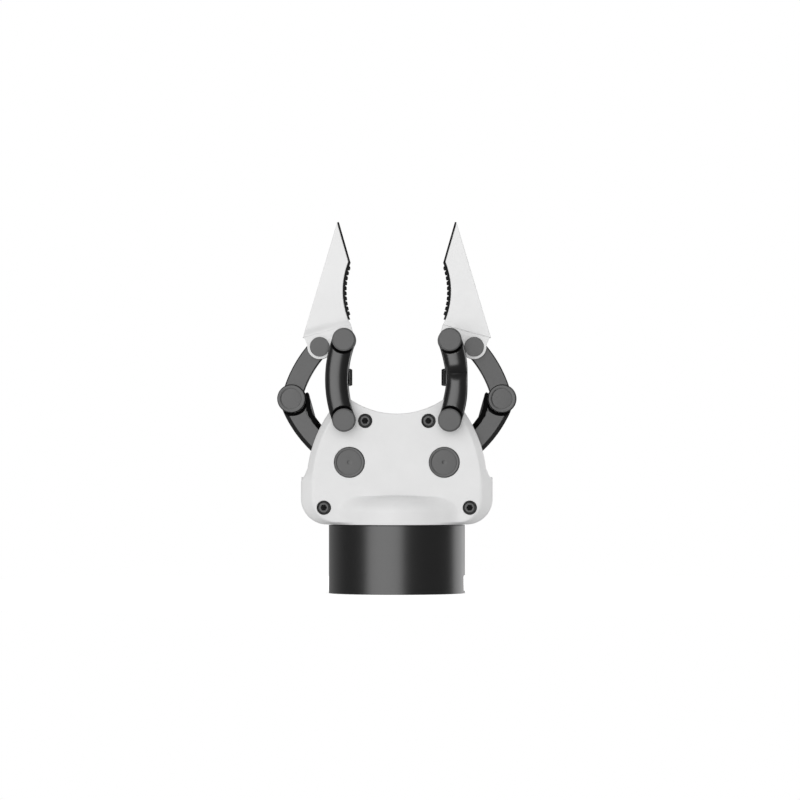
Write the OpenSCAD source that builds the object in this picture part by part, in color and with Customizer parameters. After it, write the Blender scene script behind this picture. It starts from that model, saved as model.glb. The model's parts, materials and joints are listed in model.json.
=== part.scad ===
// Electric two finger gripper: a worm motor in a round drum drives two cranks,
// and each crank carries a finger through a coupler and a front link.
// Frame: Z up, origin at the centre of the drum's bottom face, the front looks along -Y.

/* [Drum] */
// Outer diameter of the round motor drum
drum_d = 63; // [60:0.5:68]
// Height of the drum, up to the underside of the body
drum_h = 32; // [30:0.5:36]
// Wall of the drum
drum_wall = 2.5; // [2:0.1:3]
// Thickness of the drum's top wall
drum_top_t = 4; // [3.5:0.1:4.5]
// Thickness of the base plate
base_t = 6; // [5.5:0.1:6.6]
// Distance of the mounting threads from the drum's inner wall
mount_edge = 4; // [3.6:0.1:5]
// Core diameter of the mounting threads
mount_d = 5; // [4:0.1:6]
// Diameter of the locating pin hole
dowel_d = 6; // [5:0.1:6.5]
// Diameter of the centring recess in the base
pilot_d = 31.5; // [28:0.5:33]
// Depth of the centring recess
pilot_depth = 3; // [2:0.1:4]
// Width of the connector window
port_w = 12; // [11:0.1:13]
// Height of the connector window
port_h = 7.4; // [7:0.1:8.2]
// Height of the window's lower edge above the mounting face
port_z = 0.9; // [0.7:0.1:1.2]

/* [Motor] */
// Diameter of the motor shaft
shaft_d = 8; // [7:0.1:9]
// Diameter of the rotor
rotor_d = 29; // [27:0.5:31]
// Clearance above the magnetic core
core_gap = 1.5; // [1:0.1:3]
// Number of stator teeth
stator_teeth = 12; // [9:3:18]
// Diameter of the shaft's ball bearings
bearing_d = 16; // [15:0.5:17]
// Width of the shaft's ball bearings
bearing_w = 4; // [3.5:0.1:4.5]

/* [Worm drive] */
// Gear module
gear_m = 1; // [0.95:0.01:1.02]
// Teeth of each worm wheel
wheel_teeth = 28; // [26:1:29]
// Face width of the worm wheels
wheel_w = 6; // [5:0.1:7]
// Length of the threaded part of the worm
worm_len = 15; // [12:0.5:16]
// Running clearance between the thread and the teeth
mesh_gap = 0.34; // [0.3:0.01:0.42]

/* [Body] */
// Half width of the side cheeks
cheek_half_w = 44.2; // [43:0.1:46]
// Depth of the body from its front face to its back face
body_depth = 40.8; // [39:0.1:43]
// Depth of the bay between the two covers
bay_depth = 19; // [18.6:0.1:19.6]
// Height of the cheeks' top edge
cheek_top_z = 53.5; // [52.5:0.1:54]
// Radius of the rounded lower corners
corner_r = 12; // [9:0.5:14]
// Radius of the curved side of the covers
side_r = 58; // [56:0.5:61]
// Half width of the covers where the side curve starts
cover_half_w = 41.6; // [41.3:0.05:42.4]
// Height at which the side curve starts
side_z = 50.7; // [49:0.1:52]
// Radius of the saddle between the two shoulders
saddle_r = 38.6; // [36:0.1:42]
// Lowest height of the saddle
saddle_z = 83; // [82:0.1:85]
// Width of the bevel round the cover's face, seen from the front
bevel_w = 2.8; // [2.2:0.1:3.3]
// Depth of the bevel
bevel_d = 4.6; // [3.5:0.1:5.5]
// Wall of the covers
cover_wall = 3; // [2.5:0.1:3.4]
// Height of the crest of the bulge above the drum
chin_z = 45.2; // [43.5:0.1:46.5]
// Height over which the bulge rounds in to the face
chin_round = 8; // [6:0.1:9]
// Diameter of the cover screws' counterbores
screw_bore_d = 6.6; // [6.2:0.1:7]
// Diameter of the cover screws' heads
screw_head_d = 6.3; // [5.8:0.05:6.4]
// Diameter of the cover screws' shanks
screw_d = 3; // [2.5:0.1:3.4]

/* [Linkage] */
// Sideways place of the crank shafts
input_x = 21.85; // [21.6:0.05:22.2]
// Height of the crank shafts
input_z = 60.7; // [60.3:0.1:61.1]
// Sideways place of the front links' lower pivots
link_x = 24.3; // [24:0.1:24.8]
// Height of the front links' lower pivots
link_z = 80.2; // [79.8:0.1:80.6]
// Length of the front links between pivots
link_len = 37; // [36:0.1:38]
// Length of the cranks between pivots
crank_len = 39.74; // [39.2:0.1:40.2]
// Lean of the cranks from upright
crank_lean = 42.5; // [42:0.1:43]
// Outward offset of the coupler's pivot from the finger's pivot
lug_dx = 11.25; // [11:0.05:11.6]
// Drop of the coupler's pivot below the finger's pivot
lug_dz = 3.2; // [2.9:0.1:3.5]
// Radial running clearance of the pivots
run_gap = 0.05; // [0.03:0.01:0.08]
// Side clearance between pieces that swing past each other
side_gap = 0.3; // [0.25:0.01:0.35]

/* [Front links] */
// Width of the link's arms
arm_w = 10.6; // [10:0.1:11]
// Thickness of the link's arms
arm_t = 5.8; // [5:0.1:6.2]
// Outward bow of the arms
arm_bow = 3.4; // [3:0.1:3.8]
// Height of the flat end bosses
boss_t = 6.6; // [6.2:0.1:7.2]
// Diameter of the flat end bosses
boss_d = 10.8; // [10.4:0.1:11.2]
// Share of the width taken away at the right link's waist
waist = 0.24; // [0:0.01:0.3]
// Diameter of the link and finger pins
pin_d = 5; // [4.5:0.1:5.4]
// Diameter of the pin heads
pin_head_d = 9.8; // [9:0.1:10.2]

/* [Cranks and couplers] */
// Width of the cranks
crank_w = 11.7; // [11:0.1:12.2]
// Depth of the cranks and couplers
bar_depth = 16; // [15.4:0.1:16.4]
// Outward bow of the cranks
crank_bow = 4; // [3.6:0.1:4.4]
// Width of the couplers
coupler_w = 9.3; // [8.8:0.1:9.8]
// Outward bow of the couplers
coupler_bow = 1.8; // [1.5:0.1:2.1]
// Diameter of the elbow discs
elbow_d = 12.9; // [12.4:0.1:13.4]
// Thickness of the elbow discs
elbow_t = 1.8; // [1.4:0.1:2.2]
// Diameter of the elbow and coupler pins
small_pin_d = 4.4; // [4:0.1:4.6]
// Free play of the crank round the elbow pin
elbow_play = 1.4; // [1.3:0.05:1.5]
// Wire of the elbow springs
spring_wire = 0.55; // [0.45:0.05:0.6]

/* [Fingers] */
// Width of the fingertips
finger_w = 26; // [24:0.5:28]
// Height of the fingertip's point above the finger's pivot
tip_h = 54.4; // [52:0.1:58]
// Outward offset of the point from the finger's pivot
tip_dx = 2.4; // [2.2:0.1:2.6]
// Height of the knee above the finger's pivot
knee_h = 36; // [35:0.1:37]
// Inward offset of the knee from the finger's pivot
knee_dx = 2.9; // [2.7:0.05:2.95]
// Height of the pad's lower end above the finger's pivot
heel_h = 9.7; // [9:0.1:10.4]
// Inward offset of the pad's lower end
heel_dx = 2.7; // [2.5:0.1:2.9]
// Depth of the hollow in the toothed pad
pad_hollow = 2.5; // [2:0.1:3]
// Thickness of the pad strip
pad_t = 0.8; // [0.6:0.05:1]
// Number of teeth on the pad
pad_teeth = 10; // [6:1:11]
// Height of the pad's teeth
tooth_h = 0.8; // [0.5:0.05:0.85]
// Wall of the fingertip shell
shell_wall = 2.4; // [2:0.1:2.8]
// Diameter of the coupler lugs
lug_d = 11.4; // [11:0.1:11.8]
// Diameter of the coupler pin's heads
lug_cap_d = 9; // [8.6:0.1:9.4]

/* [Hidden] */
$fn = 64;

white = "#e4e4e4";
grey = "#6c6c6c";
dark = "#2a2a2a";
steel = "#b4b6b8";

// Heights inside the drum
drum_r = drum_d / 2;
bore_r = drum_r - drum_wall;
mount_pcd = 2 * (bore_r - mount_edge);
drum_screw_x = bore_r - 8;
fit = 0.2;
lip_h = 0.5;
cavity_top = drum_h - lip_h - drum_top_t;
board_z = base_t + 2;
board_t = 1.4;
plate_z = board_z + board_t + 1.6;
plate_t = 2;
core_z = plate_z + plate_t + bearing_w;
core_len = cavity_top - core_gap - core_z;
shaft_r = shaft_d / 2;
bearing_r = bearing_d / 2;
case_bearing_z = 43.5;
bridge_z = saddle_z - 6.6;
end_bearing_r = 5.5;
end_bearing_w = 4;
end_shaft_r = 2.5;

// Mechanism: points are [x, z] on the right side
E = [input_x, input_z];
A = [link_x, link_z];
B = A + [0.1, link_len];
C = B + [lug_dx, -lug_dz];
D = E + crank_len * [sin(crank_lean), cos(crank_lean)];
tip = B + [tip_dx, tip_h];
knee = B + [-knee_dx, knee_h];
heel = B + [-heel_dx, heel_h];
outer_corner = C + [7.8, 4.2];
inner_corner = B + [-3.1, 7];

face_y = body_depth / 2;
bay_y = bay_depth / 2;
arm_y = face_y + side_gap;
boss_y = arm_y + boss_t;
bar_y = bar_depth / 2;
tang_y = 2.6;
fork_y = 4.4;
lug_y = bar_y + 0.4 + side_gap;
finger_y = finger_w / 2;
bracket_y = finger_y - 0.4;
pin_r = pin_d / 2;
small_pin_r = small_pin_d / 2;
input_shaft_r = 4;
input_bearing_r = 7;
hub_r = 7.5;
eye_r = 5.6;
head_t = 0.5;
play_r = small_pin_r + elbow_play;

// Worm and wheels
wheel_r = gear_m * wheel_teeth / 2;
worm_r = input_x - wheel_r;
pitch = PI * gear_m;
add = 0.75 * gear_m;
ded = 1.1 * gear_m;
lead_angle = atan(pitch / (2 * PI * worm_r));
flank = tan(20);

screw_places = [[14.6, link_z - 0.4], [33.6, 39.8]];
bridge_half_w = screw_places[0].x + screw_d / 2 + 2.4;

// Upright plate of a flat [x, z] outline between two depths
module plate(y0, y1) {
  translate([0, y1, 0]) rotate([90, 0, 0]) linear_extrude(y1 - y0) children();
}

// Round rod along Y at a point
module rod(p, r, y0, y1) {
  translate([p.x, y1, p.y]) rotate([90, 0, 0]) cylinder(r = r, h = y1 - y0);
}

// The same piece at the front and at the back
module front_and_back() {
  children();
  mirror([0, 1, 0]) children();
}

// side = 1 is the right hand side, side = -1 the left
module at_side(side) {
  if (side > 0) children();
  else mirror([1, 0, 0]) children();
}

// Radius and centre of an arc that leaves the chord p-q by bow, outwards
function arc_r(p, q, bow) = (pow(norm(q - p), 2) / 4 + bow * bow) / (2 * bow);
function arc_c(p, q, bow) =
  let (d = (q - p) / norm(q - p)) (p + q) / 2 + [d.y, -d.x] * (bow - arc_r(p, q, bow));
function angle_at(c, p) = atan2(p.y - c.y, p.x - c.x);

// Revolves a section of [offset, depth] along the arc from p to q
module arc_bar(p, q, bow) {
  c = arc_c(p, q, bow);
  a = angle_at(c, p);
  translate([c.x, 0, c.y]) rotate([90, -a, 0])
    rotate_extrude(angle = angle_at(c, q) - a, $fn = 180)
      translate([arc_r(p, q, bow), 0]) children();
}

// Closed body through a list of rings with the same number of points
module skin(rings) {
  n = len(rings[0]);
  m = len(rings);
  pts = [for (r = rings) each r];
  walls = [for (i = [0 : m - 2], j = [0 : n - 1]) each
    [[i * n + j, i * n + (j + 1) % n, (i + 1) * n + (j + 1) % n],
     [i * n + j, (i + 1) * n + (j + 1) % n, (i + 1) * n + j]]];
  polyhedron(pts, concat([[for (j = [n - 1 : -1 : 0]) j]], walls,
    [[for (j = [0 : n - 1]) (m - 1) * n + j]]));
}

// Turns a profile of [radius, depth] about the line along Y through a point
module turned(p) {
  translate([p.x, 0, p.y]) rotate([90, 0, 0]) rotate_extrude() children();
}

// Socket head screw along Y with a chamfered head, its top at head_y and its point at tail_y
module socket_screw(p, head_y, tail_y, head_r, shank_r, head_h) {
  chamfer = head_r * 0.28;
  difference() {
    turned(p) polygon([[0, tail_y], [shank_r, tail_y], [shank_r, head_y - head_h],
      [head_r, head_y - head_h], [head_r, head_y - chamfer], [head_r - chamfer, head_y], [0, head_y]]);
    translate([p.x, -head_y - 0.1, p.y]) rotate([-90, 0, 0])
      cylinder(r = head_r * 0.42, h = head_h * 0.55 + 0.1, $fn = 6);
  }
}

// ---------- drum ----------

module drum() color(dark) {
  screws_at = drum_screw_places();
  difference() {
    union() {
      cylinder(r = drum_r, h = drum_h - lip_h, $fn = 128);
      cylinder(r = bore_r, h = drum_h, $fn = 128);
    }
    translate([0, 0, -1]) cylinder(r = bore_r, h = cavity_top + 1, $fn = 128);
    translate([0, 0, cavity_top - 1]) cylinder(r = bearing_r, h = drum_top_t + 4);
    for (p = screws_at) {
      translate([p.x, p.y, cavity_top - 1]) cylinder(r = 3.6, h = 3.2);
      translate([p.x, p.y, cavity_top]) cylinder(r = 2.1, h = drum_top_t + 1);
    }
    translate([bore_r - 2, -port_w / 2, port_z]) cube([drum_wall + 4, port_w, port_h]);
  }
  // Lugs that take the base screws
  for (p = base_screw_places()) intersection() {
    difference() {
      translate([p.x, p.y, base_t]) cylinder(r = 4.4, h = plate_z - base_t - 0.3);
      translate([p.x, p.y, base_t - 1]) cylinder(r = 1.5, h = 8);
    }
    cylinder(r = drum_r - 1, h = drum_h);
  }
}

function base_screw_places() = [for (a = [90, 205, 335]) (bore_r - 3.4) * [cos(a), sin(a)]];
function drum_screw_places() = [for (sx = [-1, 1], sy = [-1, 1]) [sx * drum_screw_x, sy * 4.6]];

module base_plate() color(steel) difference() {
  cylinder(r = bore_r - 0.05, h = base_t, $fn = 128);
  translate([0, 0, -0.01]) cylinder(r = pilot_d / 2, h = pilot_depth + 0.01);
  for (a = [45 : 90 : 315])
    translate([cos(a), sin(a), 0] * mount_pcd / 2 + [0, 0, -1]) cylinder(r = mount_d / 2, h = base_t + 2);
  translate([-mount_pcd / 2, 0, -1]) cylinder(r = dowel_d / 2, h = base_t + 2);
  for (p = base_screw_places()) translate([p.x, p.y, -1]) {
    cylinder(r = 1.6, h = base_t + 2);
    cylinder(r = 2.9, h = 4);
  }
  translate([bore_r - 7.5, -port_w / 2 - 1, -1]) cube([20, port_w + 2, base_t + 2]);
}

module base_screws() color(dark) for (p = base_screw_places()) difference() {
  union() {
    translate([p.x, p.y, 0.2]) cylinder(r = 2.75, h = 2.8);
    translate([p.x, p.y, 0.2]) cylinder(r = 1.5, h = base_t + 3.8);
  }
  translate([p.x, p.y, -0.01]) cylinder(r = 1.45, h = 1.7, $fn = 6);
}

module connector() color(dark) {
  x0 = bore_r - 7;
  h0 = port_h - 0.4;
  difference() {
    translate([x0, -port_w / 2 + 0.2, port_z + 0.2]) cube([drum_r - 0.7 - x0, port_w - 0.4, h0]);
    translate([x0 + 2, -port_w / 2 + 1.5, port_z + 1.4]) cube([20, port_w - 3, h0 - 2.4]);
    for (i = [-2 : 2]) translate([x0 - 1, 1.6 * i, port_z + port_h / 2])
      rotate([0, 90, 0]) cylinder(r = 0.35, h = 4, $fn = 20);
  }
}

module control_board() color("#1d5a3a") {
  difference() {
    translate([0, 0, board_z]) cylinder(r = bore_r - fit, h = board_t, $fn = 96);
    for (p = base_screw_places()) translate([p.x, p.y, board_z - 1]) cylinder(r = 4.7, h = board_t + 2);
    translate([bore_r - 7.5, -port_w / 2 - 1, board_z - 1]) cube([20, port_w + 2, board_t + 2]);
  }
  for (a = [20 : 55 : 310]) rotate([0, 0, a])
    translate([13, -2.2, board_z + board_t - 0.01]) cube([5, 4.4, 1.1]);
  translate([-3, -3, base_t]) cube([6, 6, board_z - base_t + 0.01]);
}

// ---------- motor ----------

module motor_plate() color(steel) difference() {
  union() {
    translate([0, 0, plate_z]) cylinder(r = bore_r, h = plate_t, $fn = 96);
    translate([0, 0, plate_z]) cylinder(r = bearing_r + 2, h = plate_t + bearing_w - 1);
  }
  translate([0, 0, plate_z + plate_t - 1]) cylinder(r = bearing_r, h = bearing_w + 2);
  translate([0, 0, plate_z - 1]) cylinder(r = shaft_r + 1, h = plate_t + 2);
  for (a = [30 : 60 : 330]) rotate([0, 0, a])
    translate([(bore_r + bearing_r + 2) / 2, 0, plate_z - 1]) cylinder(r = 3, h = plate_t + 2, $fn = 32);
}

module stator() color("#8a5a3c") {
  gap = 0.4;
  r_in = rotor_d / 2 + gap;
  difference() {
    translate([0, 0, core_z]) cylinder(r = bore_r, h = core_len, $fn = 96);
    translate([0, 0, core_z - 1]) cylinder(r = bore_r - 3, h = core_len + 2, $fn = 96);
  }
  difference() {
    for (i = [0 : stator_teeth - 1]) rotate([0, 0, 360 / stator_teeth * i]) {
      translate([r_in - 1, -1.2, core_z]) cube([bore_r - r_in - 1.5, 2.4, core_len]);
      translate([r_in + 2.4, -2.1, core_z + 0.6]) cube([bore_r - r_in - 6.6, 4.2, core_len - 1.2]);
      translate([r_in - 1, -2.6, core_z]) cube([2.6, 5.2, core_len]);
    }
    translate([0, 0, core_z - 1]) cylinder(r = r_in, h = core_len + 2, $fn = 96);
  }
}

module ring(r_out, r_in, z0, h) {
  difference() {
    translate([0, 0, z0]) cylinder(r = r_out, h = h);
    translate([0, 0, z0 - 1]) cylinder(r = r_in, h = h + 2);
  }
}

module motor_bearings() color(steel) {
  ring(bearing_r, shaft_r + run_gap, plate_z + plate_t - 1, bearing_w - 0.4);
  ring(bearing_r, shaft_r + run_gap, cavity_top, bearing_w);
}

module rotor() color("#7c7f84") difference() {
  union() {
    translate([0, 0, core_z]) cylinder(r = rotor_d / 2 - 1.6, h = core_len, $fn = 96);
    for (a = [0 : 36 : 324]) rotate([0, 0, a])
      translate([rotor_d / 2 - 4, -3.1, core_z]) cube([3.2, 6.2, core_len]);
  }
  translate([0, 0, core_z - 1]) cylinder(r = shaft_r, h = core_len + 2);
}

module encoder_magnet() color("#4a4d52")
  translate([0, 0, board_z + board_t + 0.4]) cylinder(r = 3, h = 1.4);

// Thread of the worm: a left-hand rib whose crest faces a gap of the right wheel at the shaft height
module worm_shaft() color(steel) {
  root = worm_r - ded;
  z0 = board_z + board_t + 1.8;
  mid = input_z;
  translate([0, 0, z0]) cylinder(r = shaft_r, h = mid - worm_len / 2 - 1 - z0);
  translate([0, 0, mid - worm_len / 2 - 1]) cylinder(r = root, h = worm_len + 2);
  translate([0, 0, mid]) cylinder(r = end_shaft_r + 1, h = bridge_z - mid - 0.2);
  translate([0, 0, mid]) cylinder(r = end_shaft_r, h = bridge_z - mid + end_bearing_w + 0.4);
  step = 18;
  turns = floor(worm_len / pitch);
  half_tip = (pitch / 2 - mesh_gap) / 2 - add * flank;
  half_root = half_tip + (add + ded + 0.3) * flank;
  start = -turns / 2 * 360;
  skin([for (i = [0 : 360 / step * turns])
    let (a = start + i * step, z = mid - pitch * a / 360, r0 = root - 0.3, r1 = worm_r + add)
    [for (q = [[r0, -half_root], [r1, -half_tip], [r1, half_tip], [r0, half_root]])
      [q.x * cos(a), q.x * sin(a), z + q.y]]]);
}

module drum_screws() color(dark) for (p = drum_screw_places()) difference() {
  union() {
    translate([p.x, p.y, cavity_top + 0.2]) cylinder(r = 3.3, h = 2);
    translate([p.x, p.y, cavity_top + 0.2]) cylinder(r = 2, h = drum_top_t + 8);
  }
  translate([p.x, p.y, cavity_top]) cylinder(r = 1.7, h = 1.8, $fn = 6);
}

// ---------- body ----------

module case_outline() {
  translate([-cheek_half_w, drum_h + corner_r]) square([2 * cheek_half_w, cheek_top_z - drum_h - corner_r]);
  translate([-cheek_half_w + corner_r, drum_h]) square([2 * (cheek_half_w - corner_r), cheek_top_z - drum_h]);
  intersection() {
    for (s = [-1, 1]) translate([s * (cheek_half_w - corner_r), drum_h + corner_r]) circle(r = corner_r);
    translate([-cheek_half_w, drum_h]) square([2 * cheek_half_w, cheek_top_z - drum_h]);
  }
}

module gear_case() color(white) difference() {
  plate(-bay_y, bay_y) case_outline();
  for (s = [-1, 1]) {
    rod([s * E.x, E.y], wheel_r + add + 1.1, -wheel_w / 2 - 0.8, wheel_w / 2 + 0.8);
    rod([s * E.x, E.y], hub_r + 0.8, -bay_y - 1, bay_y + 1);
  }
  translate([0, 0, case_bearing_z - 1.5]) cylinder(r = bearing_r, h = 30);
  translate([0, 0, input_z - worm_len / 2 - 2]) cylinder(r = worm_r + add + 0.8, h = 30);
  translate([0, 0, drum_h - 1]) cylinder(r = shaft_r + 1.5, h = 20);
  for (p = drum_screw_places()) translate([p.x, p.y, drum_h - 1]) cylinder(r = 2, h = 9.5);
  for (s = [-1, 1]) rod([s * screw_places[1].x, screw_places[1].y], screw_d / 2, -bay_y - 1, bay_y + 1);
}

module saddle_cut(y0, y1) { rod([0, saddle_z + saddle_r], saddle_r, y0, y1, $fn = 180); }

module top_bridge() color(white) difference() {
  plate(-bay_y, bay_y) translate([-bridge_half_w, bridge_z]) square([2 * bridge_half_w, saddle_r / 2]);
  saddle_cut(-bay_y - 1, bay_y + 1);
  translate([0, 0, bridge_z - 1]) cylinder(r = end_bearing_r, h = end_bearing_w + 1.8);
  for (s = [-1, 1]) rod([s * screw_places[0].x, screw_places[0].y], screw_d / 2, -bay_y - 1, bay_y + 1);
}

module worm_bearings() color(steel) {
  ring(bearing_r, shaft_r + run_gap, case_bearing_z - 1.5, bearing_w);
  ring(end_bearing_r, end_shaft_r + run_gap, bridge_z, end_bearing_w);
}

// Outline of a cover, counterclockwise from the bottom: points on its right half at
// cheek width (edge = 0) or at the rim of the flat face (edge = 1)
function right_outline(edge) =
  let (r = corner_r - edge * 1.1, w = edge ? cover_half_w - bevel_w : cheek_half_w, z = drum_h + edge,
    arc = side_r - edge * bevel_w, cx = cover_half_w - side_r, zs = cheek_top_z - side_z,
    a0 = asin((zs + 4) / side_r), a1 = acos(-cx / arc))
  concat([for (a = [0 : 7.5 : 90]) [w - r + r * sin(a), z + r - r * cos(a)]],
    [for (q = [[-0.3, -1], [-1.2, 0.5], [-2.1, 2.2]])
      edge ? [cx + sqrt(arc * arc - pow(zs + q.y, 2)), cheek_top_z + q.y] : [w + q.x, cheek_top_z + q.y]],
    [for (i = [0 : 35]) let (a = a0 + (a1 - a0) * i / 36) [cx + arc * cos(a), side_z + arc * sin(a)]],
    [[0, side_z + arc * sin(a1)]]);

// The whole outline as a ring of points at a depth
function cover_ring(edge, y) =
  let (right = right_outline(edge), n = len(right))
  concat([for (q = right) [q.x, y, q.y]], [for (i = [n - 2 : -1 : 0]) [-right[i].x, y, right[i].y]]);

module side_lens(inset) intersection_for(s = [-1, 1])
  translate([s * (side_r - cover_half_w), side_z]) circle(r = side_r - inset, $fn = 160);

// Bulge of the drum's radius whose top rounds in to just behind the flat face
chin_steps = 12;

module chin() rotate_extrude($fn = 128)
  polygon(concat([[0, drum_h], [drum_r, drum_h]],
    [for (i = [0 : chin_steps]) let (a = 90 * i / chin_steps, r = face_y - 0.6)
      [r + (drum_r - r) * cos(a), chin_z + chin_round * (sin(a) - 1)]],
    [[0, chin_z]]));

module cover() {
  pocket_y = face_y - cover_wall;
  posts = [for (s = [-1, 1]) each [[s * E.x, E.y, 10], [s * A.x, A.y, 6],
    [s * screw_places[0].x, screw_places[0].y, 4.6], [s * screw_places[1].x, screw_places[1].y, 4.8]]];
  difference() {
    union() {
      skin([cover_ring(1, -face_y), cover_ring(0, -face_y + bevel_d), cover_ring(0, -bay_y)]);
      intersection() {
        chin();
        translate([-drum_r, -drum_r - 1, 0]) cube([2 * drum_r, drum_r + 1 - bay_y, 60]);
      }
    }
    saddle_cut(-face_y - 1, -bay_y + 1);
    difference() {
      plate(-pocket_y, -bay_y + 1) intersection() {
        side_lens(bevel_w + 1);
        difference() {
          translate([-60, drum_h + 5]) square([120, saddle_z - drum_h]);
          translate([0, saddle_z + saddle_r]) circle(r = saddle_r + 3.4, $fn = 180);
        }
      }
      for (p = posts) rod([p.x, p.y], p.z, -face_y, -bay_y);
      plate(-face_y, -bay_y) translate([-1.2, drum_h]) square([2.4, 60]);
    }
    for (s = [-1, 1]) {
      rod([s * E.x, E.y], input_bearing_r, -face_y - 1, -bay_y + 1);
      rod([s * A.x, A.y], pin_r + 1.1, -face_y - 1, -bay_y + 1);
      for (q = screw_places) {
        rod([s * q.x, q.y], screw_d / 2 + 0.1, -face_y - 1, -bay_y + 1);
        rod([s * q.x, q.y], screw_bore_d / 2, -face_y - 1, -face_y + 3.6);
      }
    }
  }
}

module front_cover() color(white) cover();
module rear_cover() color(white) mirror([0, 1, 0]) cover();

module cover_screws() color(dark) front_and_back() for (s = [-1, 1], q = screw_places)
  socket_screw([s * q.x, q.y], face_y - 0.3, bay_y - 5.5, screw_head_d / 2, screw_d / 2, screw_d + 0.3);

module crank_bearings() color(steel) front_and_back() for (s = [-1, 1]) difference() {
  rod([s * E.x, E.y], input_bearing_r, -bay_y - 4, -bay_y);
  rod([s * E.x, E.y], input_shaft_r + run_gap, -bay_y - 5, -bay_y + 1);
}

// Plugs that close the bearing bores, with a faint turned ring
module shaft_caps() color(grey) front_and_back() for (s = [-1, 1]) difference() {
  union() {
    rod([s * E.x, E.y], input_bearing_r, -face_y - 0.1, -face_y + 4.4);
    rod([s * E.x, E.y], input_bearing_r - 1.6, -face_y - 0.3, -face_y);
  }
  rod([s * E.x, E.y], 1.1, -face_y - 1, -face_y + 0.4);
}

module link_bushes() color("#a98f5a") front_and_back() for (s = [-1, 1]) difference() {
  rod([s * A.x, A.y], pin_r + 1.1, -face_y, -bay_y);
  rod([s * A.x, A.y], pin_r + run_gap, -face_y - 1, -bay_y + 1);
}

// ---------- crank, with its wheel and shaft ----------

// phase = 0 points a tooth at the worm, phase = 0.5 a gap
module worm_wheel(side, phase) color("#b08d57") difference() {
  half_pitch_w = (pitch / 2 - mesh_gap) / 2;
  translate([side * E.x, 0, E.y]) union() {
    rotate([90, 0, 0]) cylinder(r = wheel_r - ded, h = wheel_w, center = true, $fn = 96);
    for (i = [0 : wheel_teeth - 1]) rotate([0, (i + phase) * 360 / wheel_teeth, 0])
      rotate([-side * lead_angle, 0, 0]) plate(-wheel_w / 2, wheel_w / 2)
        polygon([[-side * (wheel_r - ded - 0.4), -half_pitch_w - (ded + 0.4) * flank],
          [-side * (wheel_r + add), -half_pitch_w + add * flank],
          [-side * (wheel_r + add), half_pitch_w - add * flank],
          [-side * (wheel_r - ded - 0.4), half_pitch_w + (ded + 0.4) * flank]]);
  }
  rod([side * E.x, E.y], input_shaft_r, -wheel_w, wheel_w);
  for (a = [0 : 60 : 300])
    rod([side * E.x, E.y] + 9.2 * [cos(a), sin(a)], 2.2, -wheel_w, wheel_w);
}

module crank_shaft() color(steel) rod(E, input_shaft_r, -face_y + 4.9, face_y - 4.9);

// Section of a bar of width w: bevels of the given size on its inner and outer edges
module bevelled_bar(w, y, inner, outer) {
  edge = [[-w / 2, inner - y], [inner - w / 2, -y], [w / 2 - outer, -y], [w / 2, outer - y]];
  polygon(concat(edge, [for (i = [3 : -1 : 0]) [edge[i].x, -edge[i].y]]));
}

module crank() color(grey) {
  hub_y = bay_y - side_gap;
  shoulder_r = eye_r + elbow_play + side_gap;
  stop_y = bar_y + 0.9;
  difference() {
    union() {
      arc_bar(E, D, crank_bow) bevelled_bar(crank_w, bar_y, 2.8, 1.7);
      rod(E, hub_r, -bar_y + 0.5, bar_y - 0.5);
      rod(E, hub_r - 1.3, -hub_y, hub_y);
      rod(D, eye_r + 0.25, -tang_y, tang_y);
      // Stop on the inner side of the elbow, with a bevelled face
      hull() {
        plate(-stop_y + 1.6, stop_y - 1.6) stop_outline(0);
        plate(-stop_y, stop_y) stop_outline(0.9);
      }
    }
    // Room for the worm wheel, for the coupler's fork, for the caps and for the pins
    rod(E, wheel_r + add + 0.8, -wheel_w / 2 - side_gap, wheel_w / 2 + side_gap);
    front_and_back() {
      turned(D) polygon([[0, tang_y], [shoulder_r - 0.6, tang_y], [shoulder_r, tang_y + 0.6],
        [shoulder_r, bar_y - 1.6], [shoulder_r + 1.8, bar_y + 0.2], [shoulder_r + 1.8, bar_y + 2], [0, bar_y + 2]]);
    }
    rod(D, play_r, -bar_y, bar_y);
    rod(E, input_shaft_r, -bar_y - 2, bar_y + 2);
  }
}

// Outline of the elbow's stop, drawn in by the given amount
module stop_outline(inset) {
  translate(D) polygon([for (q = [[-4.4, -7], [-6.4, 2.3], [-7.2, 3], [-7.9, 2.3], [-8.2, -1.5], [-9.7, -6.9],
    [-11.4, -10.2], [-8, -10.2]]) [min(q.x + inset, -4.4), min(q.y, 3 - inset)]]);
}

// ---------- coupler and elbow ----------

module coupler() color(grey) difference() {
  union() {
    arc_bar(D, C, coupler_bow) bevelled_bar(coupler_w, bar_y, 0.5, 0.5);
    rod(D, eye_r, -bar_y - 0.3, bar_y + 0.3);
    rod(C, coupler_w / 2 + 0.3, -bar_y - 0.3, bar_y + 0.3);
  }
  rod(D, eye_r + elbow_play + 0.7, -fork_y, fork_y);
  rod(D, small_pin_r, -bar_y - 1, bar_y + 1);
  rod(C, small_pin_r + run_gap, -bar_y - 1, bar_y + 1);
}

module elbow_pin() color(steel) rod(D, small_pin_r, -bar_y - 0.3, bar_y + 0.3);

module elbow_caps() color(grey) front_and_back() {
  rod(D, elbow_d / 2, -bar_y - 0.3 - elbow_t, -bar_y - 0.3);
  rod(D, elbow_d / 2 - 1.3, -bar_y - 0.6 - elbow_t, -bar_y - elbow_t);
}

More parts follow.
